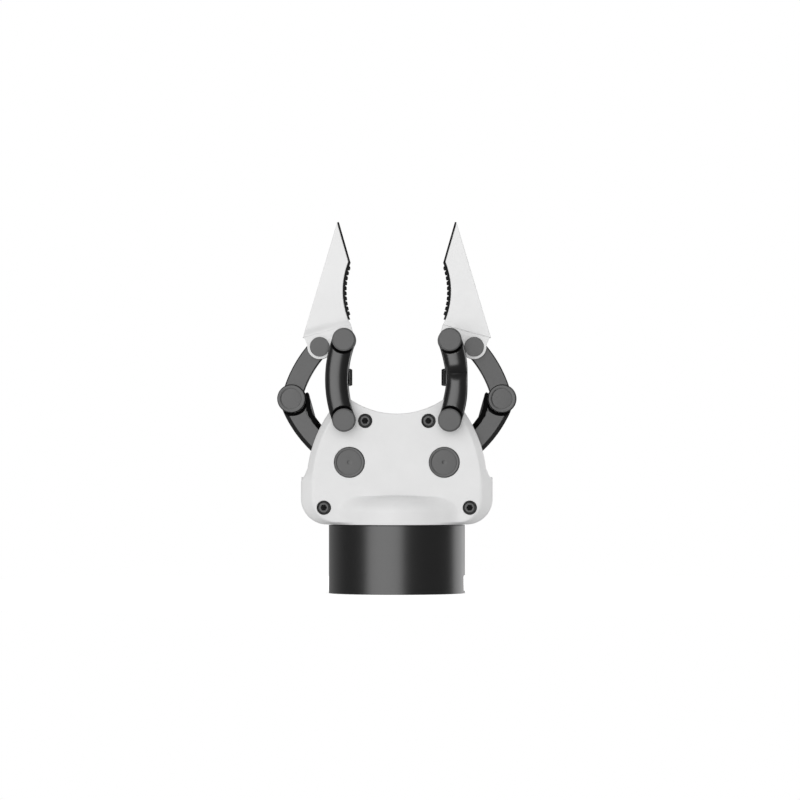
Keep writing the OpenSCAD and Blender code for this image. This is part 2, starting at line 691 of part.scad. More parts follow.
// Torsion spring between the crank's tang and the coupler's fork
module elbow_springs() color(steel) front_and_back() translate([D.x, -fork_y + 0.1 + spring_wire / 2, D.y])
  rotate([-90, 0, 0]) {
    r = small_pin_r + 0.3 + spring_wire / 2;
    rise = fork_y - tang_y - 0.2 - spring_wire;
    skin([for (i = [0 : 26]) let (a = i * 20)
      [for (j = [0 : 7]) let (u = r + spring_wire / 2 * cos(45 * j))
        [u * cos(a), u * sin(a), rise * i / 26 + spring_wire / 2 * sin(45 * j)]]]);
  }

module coupler_pin() color(grey) {
  rod(C, small_pin_r, -bracket_y, bracket_y);
  front_and_back() rod(C, lug_cap_d / 2, -bracket_y - head_t, -bracket_y);
}

// ---------- front link ----------

// One arm as a loft: flat inside, domed outside, drawn in at the waist
module arm(thin) {
  c = arc_c(A, B, arm_bow);
  r = arc_r(A, B, arm_bow);
  a0 = angle_at(c, A);
  a1 = angle_at(c, B);
  n = 20;
  skin([for (i = [0 : n]) let (t = i / n, a = a0 + (a1 - a0) * t,
      k = 1 - thin * pow(sin(180 * t), 4), w = arm_w / 2 * k, h = (arm_t - 1.4) * k)
    [for (q = concat([[-w, 0], [w, 0]], [for (j = [0 : 10]) [w * cos(18 * j), 1.4 + h * sin(18 * j)]]))
      [c.x + (r + q.x) * cos(a), -arm_y - q.y, c.y + (r + q.x) * sin(a)]]]);
}

module front_link(thin) color(dark) {
  d = (B - A) / link_len;
  n = [d.y, -d.x];
  foot = A + d * (link_len / 2 - 2.8) + n * (arm_bow - arm_w / 2 - 0.9);
  difference() {
    union() {
      front_and_back() {
        arm(thin);
        for (p = [A, B]) rod(p, boss_d / 2, -boss_y, -arm_y);
      }
      // Bridge that ties the two arms together
      plate(-arm_y - 2, arm_y + 2) polygon([foot, foot + n * 4.5, foot + n * 5.3 + d * 4, foot + n * 4.5 + d * 8,
        foot + d * 8]);
    }
    for (p = [A, B]) rod(p, pin_r, -boss_y - 1, boss_y + 1);
  }
}

module link_pad() color("#1c1c1c") {
  d = (B - A) / link_len;
  n = [d.y, -d.x];
  foot = A + d * (link_len / 2 - 2.8) + n * (arm_bow - arm_w / 2 - 0.9);
  plate(-arm_y + 4, arm_y - 4) polygon([foot, foot + d * 8, foot + d * 7.6 - n * 0.8, foot + d * 0.4 - n * 0.8]);
}

module pivot_pin(p) {
  rod(p, pin_r, -boss_y, boss_y);
  front_and_back() rod(p, pin_head_d / 2, -boss_y - head_t, -boss_y);
}

// ---------- finger ----------

// Toothed inner side: an arc hollow between the knee and the heel
hollow_r = arc_r(heel, knee, pad_hollow);
hollow_c = arc_c(heel, knee, pad_hollow);
function hollow_point(t, off) =
  let (a0 = angle_at(hollow_c, heel), a1 = angle_at(hollow_c, knee), a = a0 + (a1 - a0) * t)
  hollow_c + (hollow_r + off) * [cos(a), sin(a)];
edge_n = let (d = (tip - knee) / norm(tip - knee)) [d.y, -d.x];
hollow_n = (knee - hollow_c) / hollow_r;
mitre = (edge_n + hollow_n) / norm(edge_n + hollow_n);
knee_back = knee + mitre * pad_t / (mitre * edge_n);

hollow_steps = 40;

module tip_outline() polygon(concat(
  [for (i = [0 : hollow_steps - 1]) hollow_point(i / hollow_steps, pad_t)],
  [knee_back, tip + edge_n * pad_t, outer_corner, inner_corner]));

module fingertip() color(white) difference() {
  plate(-finger_y, finger_y) tip_outline();
  plate(-finger_y + shell_wall, finger_y - shell_wall) socket_outline(0, 1);
  rod(screw_point(), 1.6, 0, finger_y + 1);
  rod(screw_point(), 2.9, finger_y - 1.6, finger_y + 1);
}

// Socket of the shell: a wedge that keeps the wall to the finger's two sides
parting = (inner_corner - outer_corner) / norm(inner_corner - outer_corner);
back_edge = (tip - outer_corner) / norm(tip - outer_corner);
socket_h = 20;

module socket_outline(gap, sink) {
  back = outer_corner + parting * (shell_wall / (back_edge.y * -parting.x + back_edge.x * parting.y) + gap);
  front = inner_corner - parting * (pad_t + shell_wall + 1.4 + gap);
  polygon([back, back + back_edge * (socket_h - 3 * gap), hollow_point(0.45 - 0.2 * gap, pad_t + shell_wall + gap),
    front, front - [0, sink], back - [0, sink]]);
}

function screw_point() = outer_corner + (inner_corner - outer_corner) * 0.46 + (tip - outer_corner) * 0.13;

module bracket_outline() {
  polygon([outer_corner + parting * 0.6, inner_corner, B + [-pin_r - 2.4, 0.4], B + [-2, -4.4], B + [3.6, -3.4],
    C + [-3, -4.8], C + [3.6, -4.2]]);
  translate(B) circle(r = 5);
  translate(C) circle(r = lug_d / 2);
}

module finger_bracket() color(white) difference() {
  union() {
    plate(-bracket_y, bracket_y) bracket_outline();
    rod(B, 5, -face_y, face_y);
    plate(-finger_y + shell_wall + 0.1, finger_y - shell_wall - 0.1) socket_outline(0.1, 0.5);
  }
  // Slot for the coupler
  rod(C, coupler_w / 2 + 1.1, -lug_y, lug_y);
  plate(-lug_y, lug_y) polygon([C + [-6, -1.5], C + [1, 5.75], C + [9.5, 2.2],
    C + [14, -10], C + [-6, -12]]);
  rod(B, pin_r + 1, -face_y - 1, face_y + 1);
  rod(C, small_pin_r, -finger_y - 1, finger_y + 1);
  rod(screw_point(), 1.5, 2, finger_y);
}

module finger_bushes() color("#a98f5a") {
  front_and_back() difference() {
    rod(B, pin_r + 1, -face_y, -face_y + 12);
    rod(B, pin_r + run_gap, -face_y - 1, -face_y + 13);
  }
}

module finger_screw() color(dark) mirror([0, 1, 0])
  socket_screw(screw_point(), finger_y - 0.2, 4, 2.7, 1.5, 1.4);

// Pad strip: smooth along the point, with rounded cross ribs in the hollow
module finger_pad() color("#1c1c1c") {
  steps = hollow_steps;
  t0 = 0.06;
  t1 = 0.94;
  plate(-finger_y, finger_y) polygon(concat(
    [for (i = [0 : steps - 1]) hollow_point(i / steps, pad_t)],
    [knee_back, tip + edge_n * pad_t, tip],
    [for (i = [steps : -1 : 0]) hollow_point(i / steps, 0)]));
  for (i = [0 : pad_teeth - 1]) {
    t = t0 + (t1 - t0) * (i + 0.5) / pad_teeth;
    w = (t1 - t0) / pad_teeth;
    plate(-finger_y, finger_y) polygon([hollow_point(t - w * 0.32, 0.2), hollow_point(t - w * 0.08, -tooth_h),
      hollow_point(t + w * 0.12, -tooth_h), hollow_point(t + w * 0.26, 0.2)]);
  }
}

drum();
base_plate();
base_screws();
connector();
control_board();
motor_plate();
stator();
motor_bearings();
drum_screws();
gear_case();
top_bridge();
worm_bearings();
front_cover();
rear_cover();
cover_screws();
crank_bearings();
shaft_caps();
link_bushes();
rotor();
worm_shaft();
encoder_magnet();
worm_wheel(-1, 0);  // left_worm_wheel
worm_wheel(1, 0.5);  // right_worm_wheel
at_side(-1) crank_shaft();  // left_crank_shaft
at_side(1) crank_shaft();  // right_crank_shaft
at_side(-1) crank();  // left_crank
at_side(1) crank();  // right_crank
at_side(-1) coupler();  // left_coupler
at_side(1) coupler();  // right_coupler
at_side(-1) elbow_pin();  // left_elbow_pin
at_side(1) elbow_pin();  // right_elbow_pin
at_side(-1) elbow_caps();  // left_elbow_caps
at_side(1) elbow_caps();  // right_elbow_caps
at_side(-1) elbow_springs();  // left_elbow_springs
at_side(1) elbow_springs();  // right_elbow_springs
at_side(-1) coupler_pin();  // left_coupler_pin
at_side(1) coupler_pin();  // right_coupler_pin
at_side(-1) front_link(0);  // left_front_link
at_side(1) front_link(waist);  // right_front_link
at_side(-1) link_pad();  // left_link_pad
at_side(1) link_pad();  // right_link_pad
color(grey) at_side(-1) pivot_pin(A);  // left_link_pin
color(grey) at_side(1) pivot_pin(A);  // right_link_pin
color(grey) at_side(-1) pivot_pin(B);  // left_finger_pin
color(grey) at_side(1) pivot_pin(B);  // right_finger_pin
at_side(-1) finger_bracket();  // left_finger_bracket
at_side(1) finger_bracket();  // right_finger_bracket
at_side(-1) finger_bushes();  // left_finger_bushes
at_side(1) finger_bushes();  // right_finger_bushes
at_side(-1) fingertip();  // left_fingertip
at_side(1) fingertip();  // right_fingertip
at_side(-1) finger_pad();  // left_finger_pad
at_side(1) finger_pad();  // right_finger_pad
at_side(-1) finger_screw();  // left_finger_screw
at_side(1) finger_screw();  // right_finger_screw
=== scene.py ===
"""Looks of an electric two finger gripper, dressed over its packed mechanical model.

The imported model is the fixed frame. Each sub-assembly is a class: it reads its place from the
frame, works its own surfaces out with numpy and gives every piece its finish. All lengths are in
metres, Z is up and the front looks along -Y.
"""

import json
import logging
import math
from dataclasses import dataclass
from enum import Enum
from typing import Any, Mapping, Sequence

import bmesh
import bpy
import numpy as np
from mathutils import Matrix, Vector


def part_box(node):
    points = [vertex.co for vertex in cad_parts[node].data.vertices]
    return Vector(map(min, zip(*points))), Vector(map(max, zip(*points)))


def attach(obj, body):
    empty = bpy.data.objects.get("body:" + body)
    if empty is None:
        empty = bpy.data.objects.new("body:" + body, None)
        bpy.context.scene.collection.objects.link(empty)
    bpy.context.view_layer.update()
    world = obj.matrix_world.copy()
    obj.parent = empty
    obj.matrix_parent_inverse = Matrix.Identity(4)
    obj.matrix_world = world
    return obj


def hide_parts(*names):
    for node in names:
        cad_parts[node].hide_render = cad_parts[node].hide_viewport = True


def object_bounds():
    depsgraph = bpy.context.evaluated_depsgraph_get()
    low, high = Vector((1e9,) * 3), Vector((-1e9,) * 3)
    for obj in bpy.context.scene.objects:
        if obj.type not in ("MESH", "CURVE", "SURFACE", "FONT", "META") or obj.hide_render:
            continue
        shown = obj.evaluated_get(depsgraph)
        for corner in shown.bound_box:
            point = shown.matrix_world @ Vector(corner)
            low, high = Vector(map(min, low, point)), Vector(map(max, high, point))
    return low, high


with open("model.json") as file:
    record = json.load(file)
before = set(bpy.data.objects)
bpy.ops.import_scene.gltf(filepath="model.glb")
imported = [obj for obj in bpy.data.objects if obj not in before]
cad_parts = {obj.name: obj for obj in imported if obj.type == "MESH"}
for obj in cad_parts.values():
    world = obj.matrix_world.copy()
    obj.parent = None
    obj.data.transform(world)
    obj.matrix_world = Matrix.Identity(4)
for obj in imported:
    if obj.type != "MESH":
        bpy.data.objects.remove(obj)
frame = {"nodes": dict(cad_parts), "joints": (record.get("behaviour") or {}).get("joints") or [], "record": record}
CAD_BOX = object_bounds()

MM = 0.001
LOG = logging.getLogger("gripper")


class Side(Enum):
    """Left or right half of the gripper, as seen from the front."""

    LEFT = "left"
    RIGHT = "right"

    @property
    def sign(self) -> int:
        """Sign of X on this side."""
        return -1 if self is Side.LEFT else 1

    def node(self, name: str) -> str:
        """Name of this side's copy of a node, body or joint."""
        return f"{self.value}_{name}"


# ---------------------------------------------------------------- shader graphs


class Value:
    """A number that varies over a surface, kept as a socket, with Python's operators."""

    def __init__(self, graph: "Graph", socket: bpy.types.NodeSocket) -> None:
        """Wraps a socket.

        Args:
            graph: The graph that the socket belongs to.
            socket: An output that gives one number.
        """
        self.graph = graph
        self.socket = socket

    def _math(self, operation: str, *terms: "Value | float") -> "Value":
        """Adds a Math node.

        Args:
            operation: The Math node's operation.
            terms: Its inputs, in order.

        Returns:
            The node's result.
        """
        return self.graph.value(
            "ShaderNodeMath", {"operation": operation}, dict(enumerate(terms))
        )

    def __add__(self, other: "Value | float") -> "Value":
        """Sum."""
        return self._math("ADD", self, other)

    def __radd__(self, other: float) -> "Value":
        """Sum, from the right."""
        return self._math("ADD", other, self)

    def __rsub__(self, other: float) -> "Value":
        """Difference, from the right."""
        return self._math("SUBTRACT", other, self)

    def __mul__(self, other: "Value | float") -> "Value":
        """Product."""
        return self._math("MULTIPLY", self, other)

    def __rmul__(self, other: float) -> "Value":
        """Product, from the right."""
        return self._math("MULTIPLY", other, self)

    def max(self, other: "Value | float") -> "Value":
        """The larger of the two."""
        return self._math("MAXIMUM", self, other)

    def ramp(self, low: float, high: float) -> "Value":
        """0 up to low, 1 from high on, with a smooth step in between.

        Args:
            low: Where the step starts.
            high: Where it ends.

        Returns:
            The stepped value.
        """
        return self.graph.value(
            "ShaderNodeMapRange",
            {"interpolation_type": "SMOOTHSTEP"},
            {"Value": self, "From Min": low, "From Max": high},
        )


class Graph:
    """A node tree with one way of adding a node."""

    def __init__(self, tree: bpy.types.NodeTree) -> None:
        """Empties the tree and takes it over.

        Args:
            tree: The node tree of a material or of the world.
        """
        self.tree = tree
        tree.nodes.clear()

    def add(
        self,
        kind: str,
        settings: Mapping[str, Any] | None = None,
        sockets: Mapping[str | int, Any] | None = None,
    ) -> bpy.types.Node:
        """Adds a node, with its settings first and then its inputs.

        Args:
            kind: The node's type.
            settings: Properties of the node.
            sockets: Values or links of its inputs, by name or by place.

        Returns:
            The new node.
        """
        node = self.tree.nodes.new(kind)
        for key, value in (settings or {}).items():
            setattr(node, key, value)
        for key, value in (sockets or {}).items():
            source = value.socket if isinstance(value, Value) else value
            if isinstance(source, bpy.types.NodeSocket):
                self.tree.links.new(source, node.inputs[key])
            else:
                node.inputs[key].default_value = source
        return node

    def value(
        self,
        kind: str,
        settings: Mapping[str, Any] | None = None,
        sockets: Mapping[str | int, Any] | None = None,
        output: str | int = 0,
    ) -> Value:
        """Adds a node and takes one of its outputs as a number.

        Args:
            kind: The node's type.
            settings: As for add.
            sockets: As for add.
            output: The output to take.

        Returns:
            The output as a value.
        """
        return Value(self, self.add(kind, settings, sockets).outputs[output])

    def place(self) -> bpy.types.NodeSocket:
        """Object coordinates, in metres."""
        return self.add("ShaderNodeTexCoord").outputs["Object"]

    def stretched(self, scale: tuple[float, float, float]) -> bpy.types.NodeSocket:
        """Object coordinates, scaled along each axis.

        Args:
            scale: Factors for X, Y and Z.

        Returns:
            The scaled place.
        """
        node = self.add(
            "ShaderNodeVectorMath", {"operation": "MULTIPLY"}, {0: self.place(), 1: scale}
        )
        return node.outputs[0]

    def noise(self, place: bpy.types.NodeSocket, size: float, detail: float) -> Value:
        """Smooth noise from 0 to 1.

        Args:
            place: Where the noise is read.
            size: Width of a spot, in the units of place.
            detail: Number of finer layers.

        Returns:
            The noise.
        """
        sockets = {"Vector": place, "Scale": 1.0 / size, "Detail": detail}
        return self.value("ShaderNodeTexNoise", None, sockets, "Fac")

    def blend(
        self, factor: Value, low: tuple[float, ...], high: tuple[float, ...]
    ) -> bpy.types.NodeSocket:
        """Mix of two colours.

        Args:
            factor: 0 for low, 1 for high.
            low: First colour.
            high: Second colour.

        Returns:
            The mixed colour.
        """
        node = self.add(
            "ShaderNodeMix",
            {"data_type": "RGBA"},
            {"Factor": factor, 6: (*low, 1.0), 7: (*high, 1.0)},
        )
        return node.outputs[2]


# ---------------------------------------------------------------- finishes


class Grain(Enum):
    """How a surface was made, which sets its relief."""

    MOULDED = "fine spark-eroded mould grain"
    BLASTED = "bead blasted and anodised"
    TURNED = "turned on a lathe about Z"
    GROUND = "ground bright, with fine lines"
    WOUND = "wound wire and stacked sheets"
    RUBBER = "matt moulded rubber"


@dataclass(frozen=True)
class Relief:
    """Height pattern of a grain, as noise.

    Attributes:
        stretch: Factors on X, Y and Z that draw the noise out into lines, None for an even grain.
        size: Width of a spot.
        detail: Number of finer layers.
        depth: Height of the relief.
    """

    stretch: tuple[float, float, float] | None
    size: float
    detail: float
    depth: float


RELIEFS: dict[Grain, Relief] = {
    Grain.MOULDED: Relief(None, 0.22 * MM, 3.0, 3.0e-6),
    Grain.BLASTED: Relief(None, 0.12 * MM, 3.0, 2.5e-6),
    Grain.TURNED: Relief((0.02, 0.02, 1.0), 0.12 * MM, 1.0, 2.0e-6),
    Grain.GROUND: Relief((1.0, 0.05, 1.0), 0.1 * MM, 1.0, 1.5e-6),
    Grain.WOUND: Relief((0.3, 0.3, 1.0), 0.5 * MM, 1.0, 6.0e-5),
    Grain.RUBBER: Relief(None, 0.3 * MM, 3.0, 1.0e-5),
}

# Faint clouds over every finish: their width, and how far they move its colour and its roughness
CLOUD_SIZE = 9 * MM
CLOUD_DARK, CLOUD_LIGHT = 0.95, 1.03
CLOUD_SMOOTH, CLOUD_ROUGHER = 0.94, 0.12


@dataclass(frozen=True)
class Finish:
    """The finish of a surface: colour, gloss and relief.

    Attributes:
        name: Name of the material.
        slot: The record's material slot; not used.
        colour: Base colour.
        roughness: Mean roughness.
        grain: How the surface was made.
        metallic: 1 for bare metal.
        index: Index of refraction, which sets how strongly it reflects.
        edge: Radius by which the light softens sharp edges, 0 for none.
    """

    name: str
    slot: str
    colour: tuple[float, float, float]
    roughness: float
    grain: Grain
    metallic: float = 0.0
    index: float = 1.5
    edge: float = 0.0

    def relief(self, graph: Graph) -> tuple[Value, float]:
        """Height pattern of the grain.

        Args:
            graph: The material's graph.

        Returns:
            The height from 0 to 1, and its depth in metres.
        """
        kind = RELIEFS[self.grain]
        place = graph.stretched(kind.stretch) if kind.stretch else graph.place()
        return graph.noise(place, kind.size, kind.detail), kind.depth

    def material(self) -> bpy.types.Material:
        """The finish as a material, made once and then shared."""
        made = bpy.data.materials.get(self.name)
        if made:
            return made
        made = bpy.data.materials.new(self.name)
        made.use_nodes = True
        graph = Graph(made.node_tree)
        clouds = graph.noise(graph.place(), CLOUD_SIZE, 3.0)
        height, depth = self.relief(graph)
        darker = tuple(CLOUD_DARK * c for c in self.colour)
        lighter = tuple(min(1.0, CLOUD_LIGHT * c) for c in self.colour)
        bump = {"Height": height, "Distance": depth, "Strength": 1.0}
        if self.edge:
            bevel = graph.add("ShaderNodeBevel", {"samples": 6}, {"Radius": self.edge})
            bump["Normal"] = bevel.outputs[0]
        shader = graph.add(
            "ShaderNodeBsdfPrincipled",
            None,
            {
                "Base Color": graph.blend(clouds, darker, lighter),
                "Roughness": self.roughness * (CLOUD_SMOOTH + CLOUD_ROUGHER * clouds),
                "Metallic": self.metallic,
                "IOR": self.index,
                "Normal": graph.add("ShaderNodeBump", None, bump).outputs[0],
            },
        )
        graph.add("ShaderNodeOutputMaterial", None, {"Surface": shader.outputs[0]})
        return made


WHITE_SHELL = Finish(
    "moulded_white", "white_shell", (0.8, 0.8, 0.8), 0.45, Grain.MOULDED, edge=0.5 * MM
)
# Same white moulding as the covers, painted lighter: painted light that lifts the fingertips and finger brackets
# to a brighter lit tone and offsets the shade in the brackets' recess.
WHITE_PAINTED_LIGHTER = Finish(
    "moulded_white_tip", "white_shell", (0.84, 0.84, 0.84), 0.45, Grain.MOULDED, edge=0.4 * MM
)
BLACK_DRUM = Finish(
    "drum_black", "black_drum", (0.008, 0.008, 0.0083), 0.31, Grain.BLASTED, index=2.06
)
BLACK_ARM = Finish(
    "black_arm", "black_linkage", (0.007, 0.007, 0.0073), 0.29, Grain.BLASTED, index=2.06
)
GREY_BAR = Finish(
    "grey_bar", "grey_linkage", (0.008, 0.008, 0.0083), 0.31, Grain.BLASTED, index=2.06, edge=0.15 * MM
)
BLACK_SCREW = Finish(
    "black_screw", "black_screws", (0.012, 0.012, 0.0125), 0.36, Grain.BLASTED, index=2.0, edge=0.1 * MM
)
# Dull near-black copy of the linkage's black anodising that reflects little: painted shade, used for the strips
# along the cranks' inner edges and the thin rings round the elbow discs.
PAINTED_SHADE_BLACK = Finish(
    "black_edge", "black_linkage", (0.003, 0.003, 0.0032), 0.6, Grain.RUBBER, index=1.12
)
RUBBER = Finish("pad_rubber", "black_rubber", (0.006, 0.006, 0.0065), 0.7, Grain.RUBBER, index=1.35)
BLACK_SOCKET = Finish("connector_black", "black_socket", (0.02, 0.02, 0.02), 0.5, Grain.MOULDED)
STEEL = Finish(
    "ground_steel", "bare_steel", (0.55, 0.56, 0.57), 0.3, Grain.GROUND, metallic=1.0, edge=0.2 * MM
)
ALUMINIUM = Finish(
    "machined_aluminium", "bare_aluminium", (0.62, 0.63, 0.64), 0.35, Grain.TURNED, metallic=1.0,
    edge=0.2 * MM,
)
BRONZE = Finish(
    "bearing_bronze", "bronze", (0.5, 0.33, 0.13), 0.35, Grain.GROUND, metallic=1.0, edge=0.1 * MM
)
COPPER = Finish("wound_copper", "copper_core", (0.4, 0.18, 0.09), 0.45, Grain.WOUND, metallic=0.6)
BOARD = Finish("circuit_board", "green_board", (0.02, 0.12, 0.05), 0.3, Grain.MOULDED)

NODE_FINISHES: dict[str, Finish] = {
    "drum": BLACK_DRUM,
    "base_plate": ALUMINIUM,
    "base_screws": BLACK_SCREW,
    "connector": BLACK_SOCKET,
    "control_board": BOARD,
    "motor_plate": ALUMINIUM,
    "stator": COPPER,
    "motor_bearings": STEEL,
    "drum_screws": BLACK_SCREW,
    "gear_case": WHITE_SHELL,
    "top_bridge": WHITE_SHELL,
    "worm_bearings": STEEL,
    "front_cover": WHITE_SHELL,
    "rear_cover": WHITE_SHELL,
    "cover_screws": BLACK_SCREW,
    "crank_bearings": STEEL,
    "shaft_caps": GREY_BAR,
    "link_bushes": BRONZE,
    "rotor": STEEL,
    "worm_shaft": STEEL,
    "encoder_magnet": STEEL,
    "worm_wheel": BRONZE,
    "crank_shaft": STEEL,
    "crank": GREY_BAR,
    "coupler": GREY_BAR,
    "elbow_pin": STEEL,
    "elbow_caps": GREY_BAR,
    "elbow_springs": STEEL,
    "coupler_pin": GREY_BAR,
    "front_link": BLACK_ARM,
    "link_pad": RUBBER,
    "link_pin": GREY_BAR,
    "finger_pin": GREY_BAR,
    "finger_bracket": WHITE_PAINTED_LIGHTER,
    "finger_bushes": BRONZE,
    "fingertip": WHITE_PAINTED_LIGHTER,
    "finger_pad": RUBBER,
    "finger_screw": BLACK_SCREW,
}


def dress_nodes() -> None:
    """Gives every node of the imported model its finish."""
    for name, node in frame["nodes"].items():
        plain = name.removeprefix("left_").removeprefix("right_")
        finish = NODE_FINISHES[plain]
        if not node.data.materials:
            node.data.materials.append(None)
        for place in node.material_slots:
            place.material = finish.material()
        LOG.info("dressed %s: %s", name, finish.name)


# ---------------------------------------------------------------- surfaces

# Points round a turned piece, and the angle in degrees from which an edge stays sharp
ROUND_POINTS = 96
SHARP_ANGLE = 30.0


def smooth_step(x: np.ndarray, low: float, high: float) -> np.ndarray:
    """Smooth step, 3t^2 - 2t^3 with t running from 0 at low to 1 at high.

    Args:
        x: Where it is read.
        low: Start of the step.
        high: End of the step.

    Returns:
        Values from 0 to 1.
    """
    t = np.clip((x - low) / (high - low), 0.0, 1.0)
    return t * t * (3.0 - 2.0 * t)


def rounded(corners: Sequence[tuple[float, float, float]], steps: int = 6) -> np.ndarray:
    """Open line through corners, each eased by a parabola that touches both of its sides.

    Args:
        corners: Points (a, b) of the line, with how far the easing reaches along each side.
        steps: Spans of each parabola.

    Returns:
        Points of the line, one row each.
    """
    line = [np.array([corners[0][:2]])]
    t = np.linspace(0.0, 1.0, steps + 1)[:, None]
    for before, corner, after in zip(corners, corners[1:], corners[2:]):
        p, q, r = (np.array(c[:2]) for c in (before, corner, after))
        if corner[2] == 0.0:
            line.append(q[None])
            continue
        start = q + (p - q) * min(0.49, corner[2] / np.linalg.norm(p - q))
        end = q + (r - q) * min(0.49, corner[2] / np.linalg.norm(r - q))
        line.append((1 - t) ** 2 * start + 2 * t * (1 - t) * q + t**2 * end)
    line.append(np.array([corners[-1][:2]]))
    return np.concatenate(line)


@dataclass(frozen=True)
class Arc:
    """Circular arc between two points of the XZ plane that bows outwards."""

    centre: np.ndarray
    radius: float
    start: float
    end: float

    @classmethod
    def between(cls, p: np.ndarray, q: np.ndarray, bow: float) -> "Arc":
        """Arc from p to q whose middle stands off the chord by bow.

        Args:
            p: First point.
            q: Second point.
            bow: Height of the arc over its chord, towards +X for an upward chord.

        Returns:
            The arc.
        """
        chord = float(np.linalg.norm(q - p))
        radius = (chord**2 / 4 + bow**2) / (2 * bow)
        along = (q - p) / chord
        centre = (p + q) / 2 + np.array([along[1], -along[0]]) * (bow - radius)
        angles = [math.atan2(*(end - centre)[::-1]) for end in (p, q)]
        return cls(centre, radius, *angles)

    def points(self, t: np.ndarray, offset: np.ndarray | float = 0.0) -> np.ndarray:
        """Points along the arc, moved outwards by offset.

        Args:
            t: Share of the arc, from 0 to 1.
            offset: Distance outwards from the arc.

        Returns:
            X and Z in the last axis.
        """
        angle = self.start + (self.end - self.start) * t
        reach = self.radius + offset
        x = self.centre[0] + reach * np.cos(angle)
        z = self.centre[1] + reach * np.sin(angle)
        return np.stack([x, z], axis=-1)


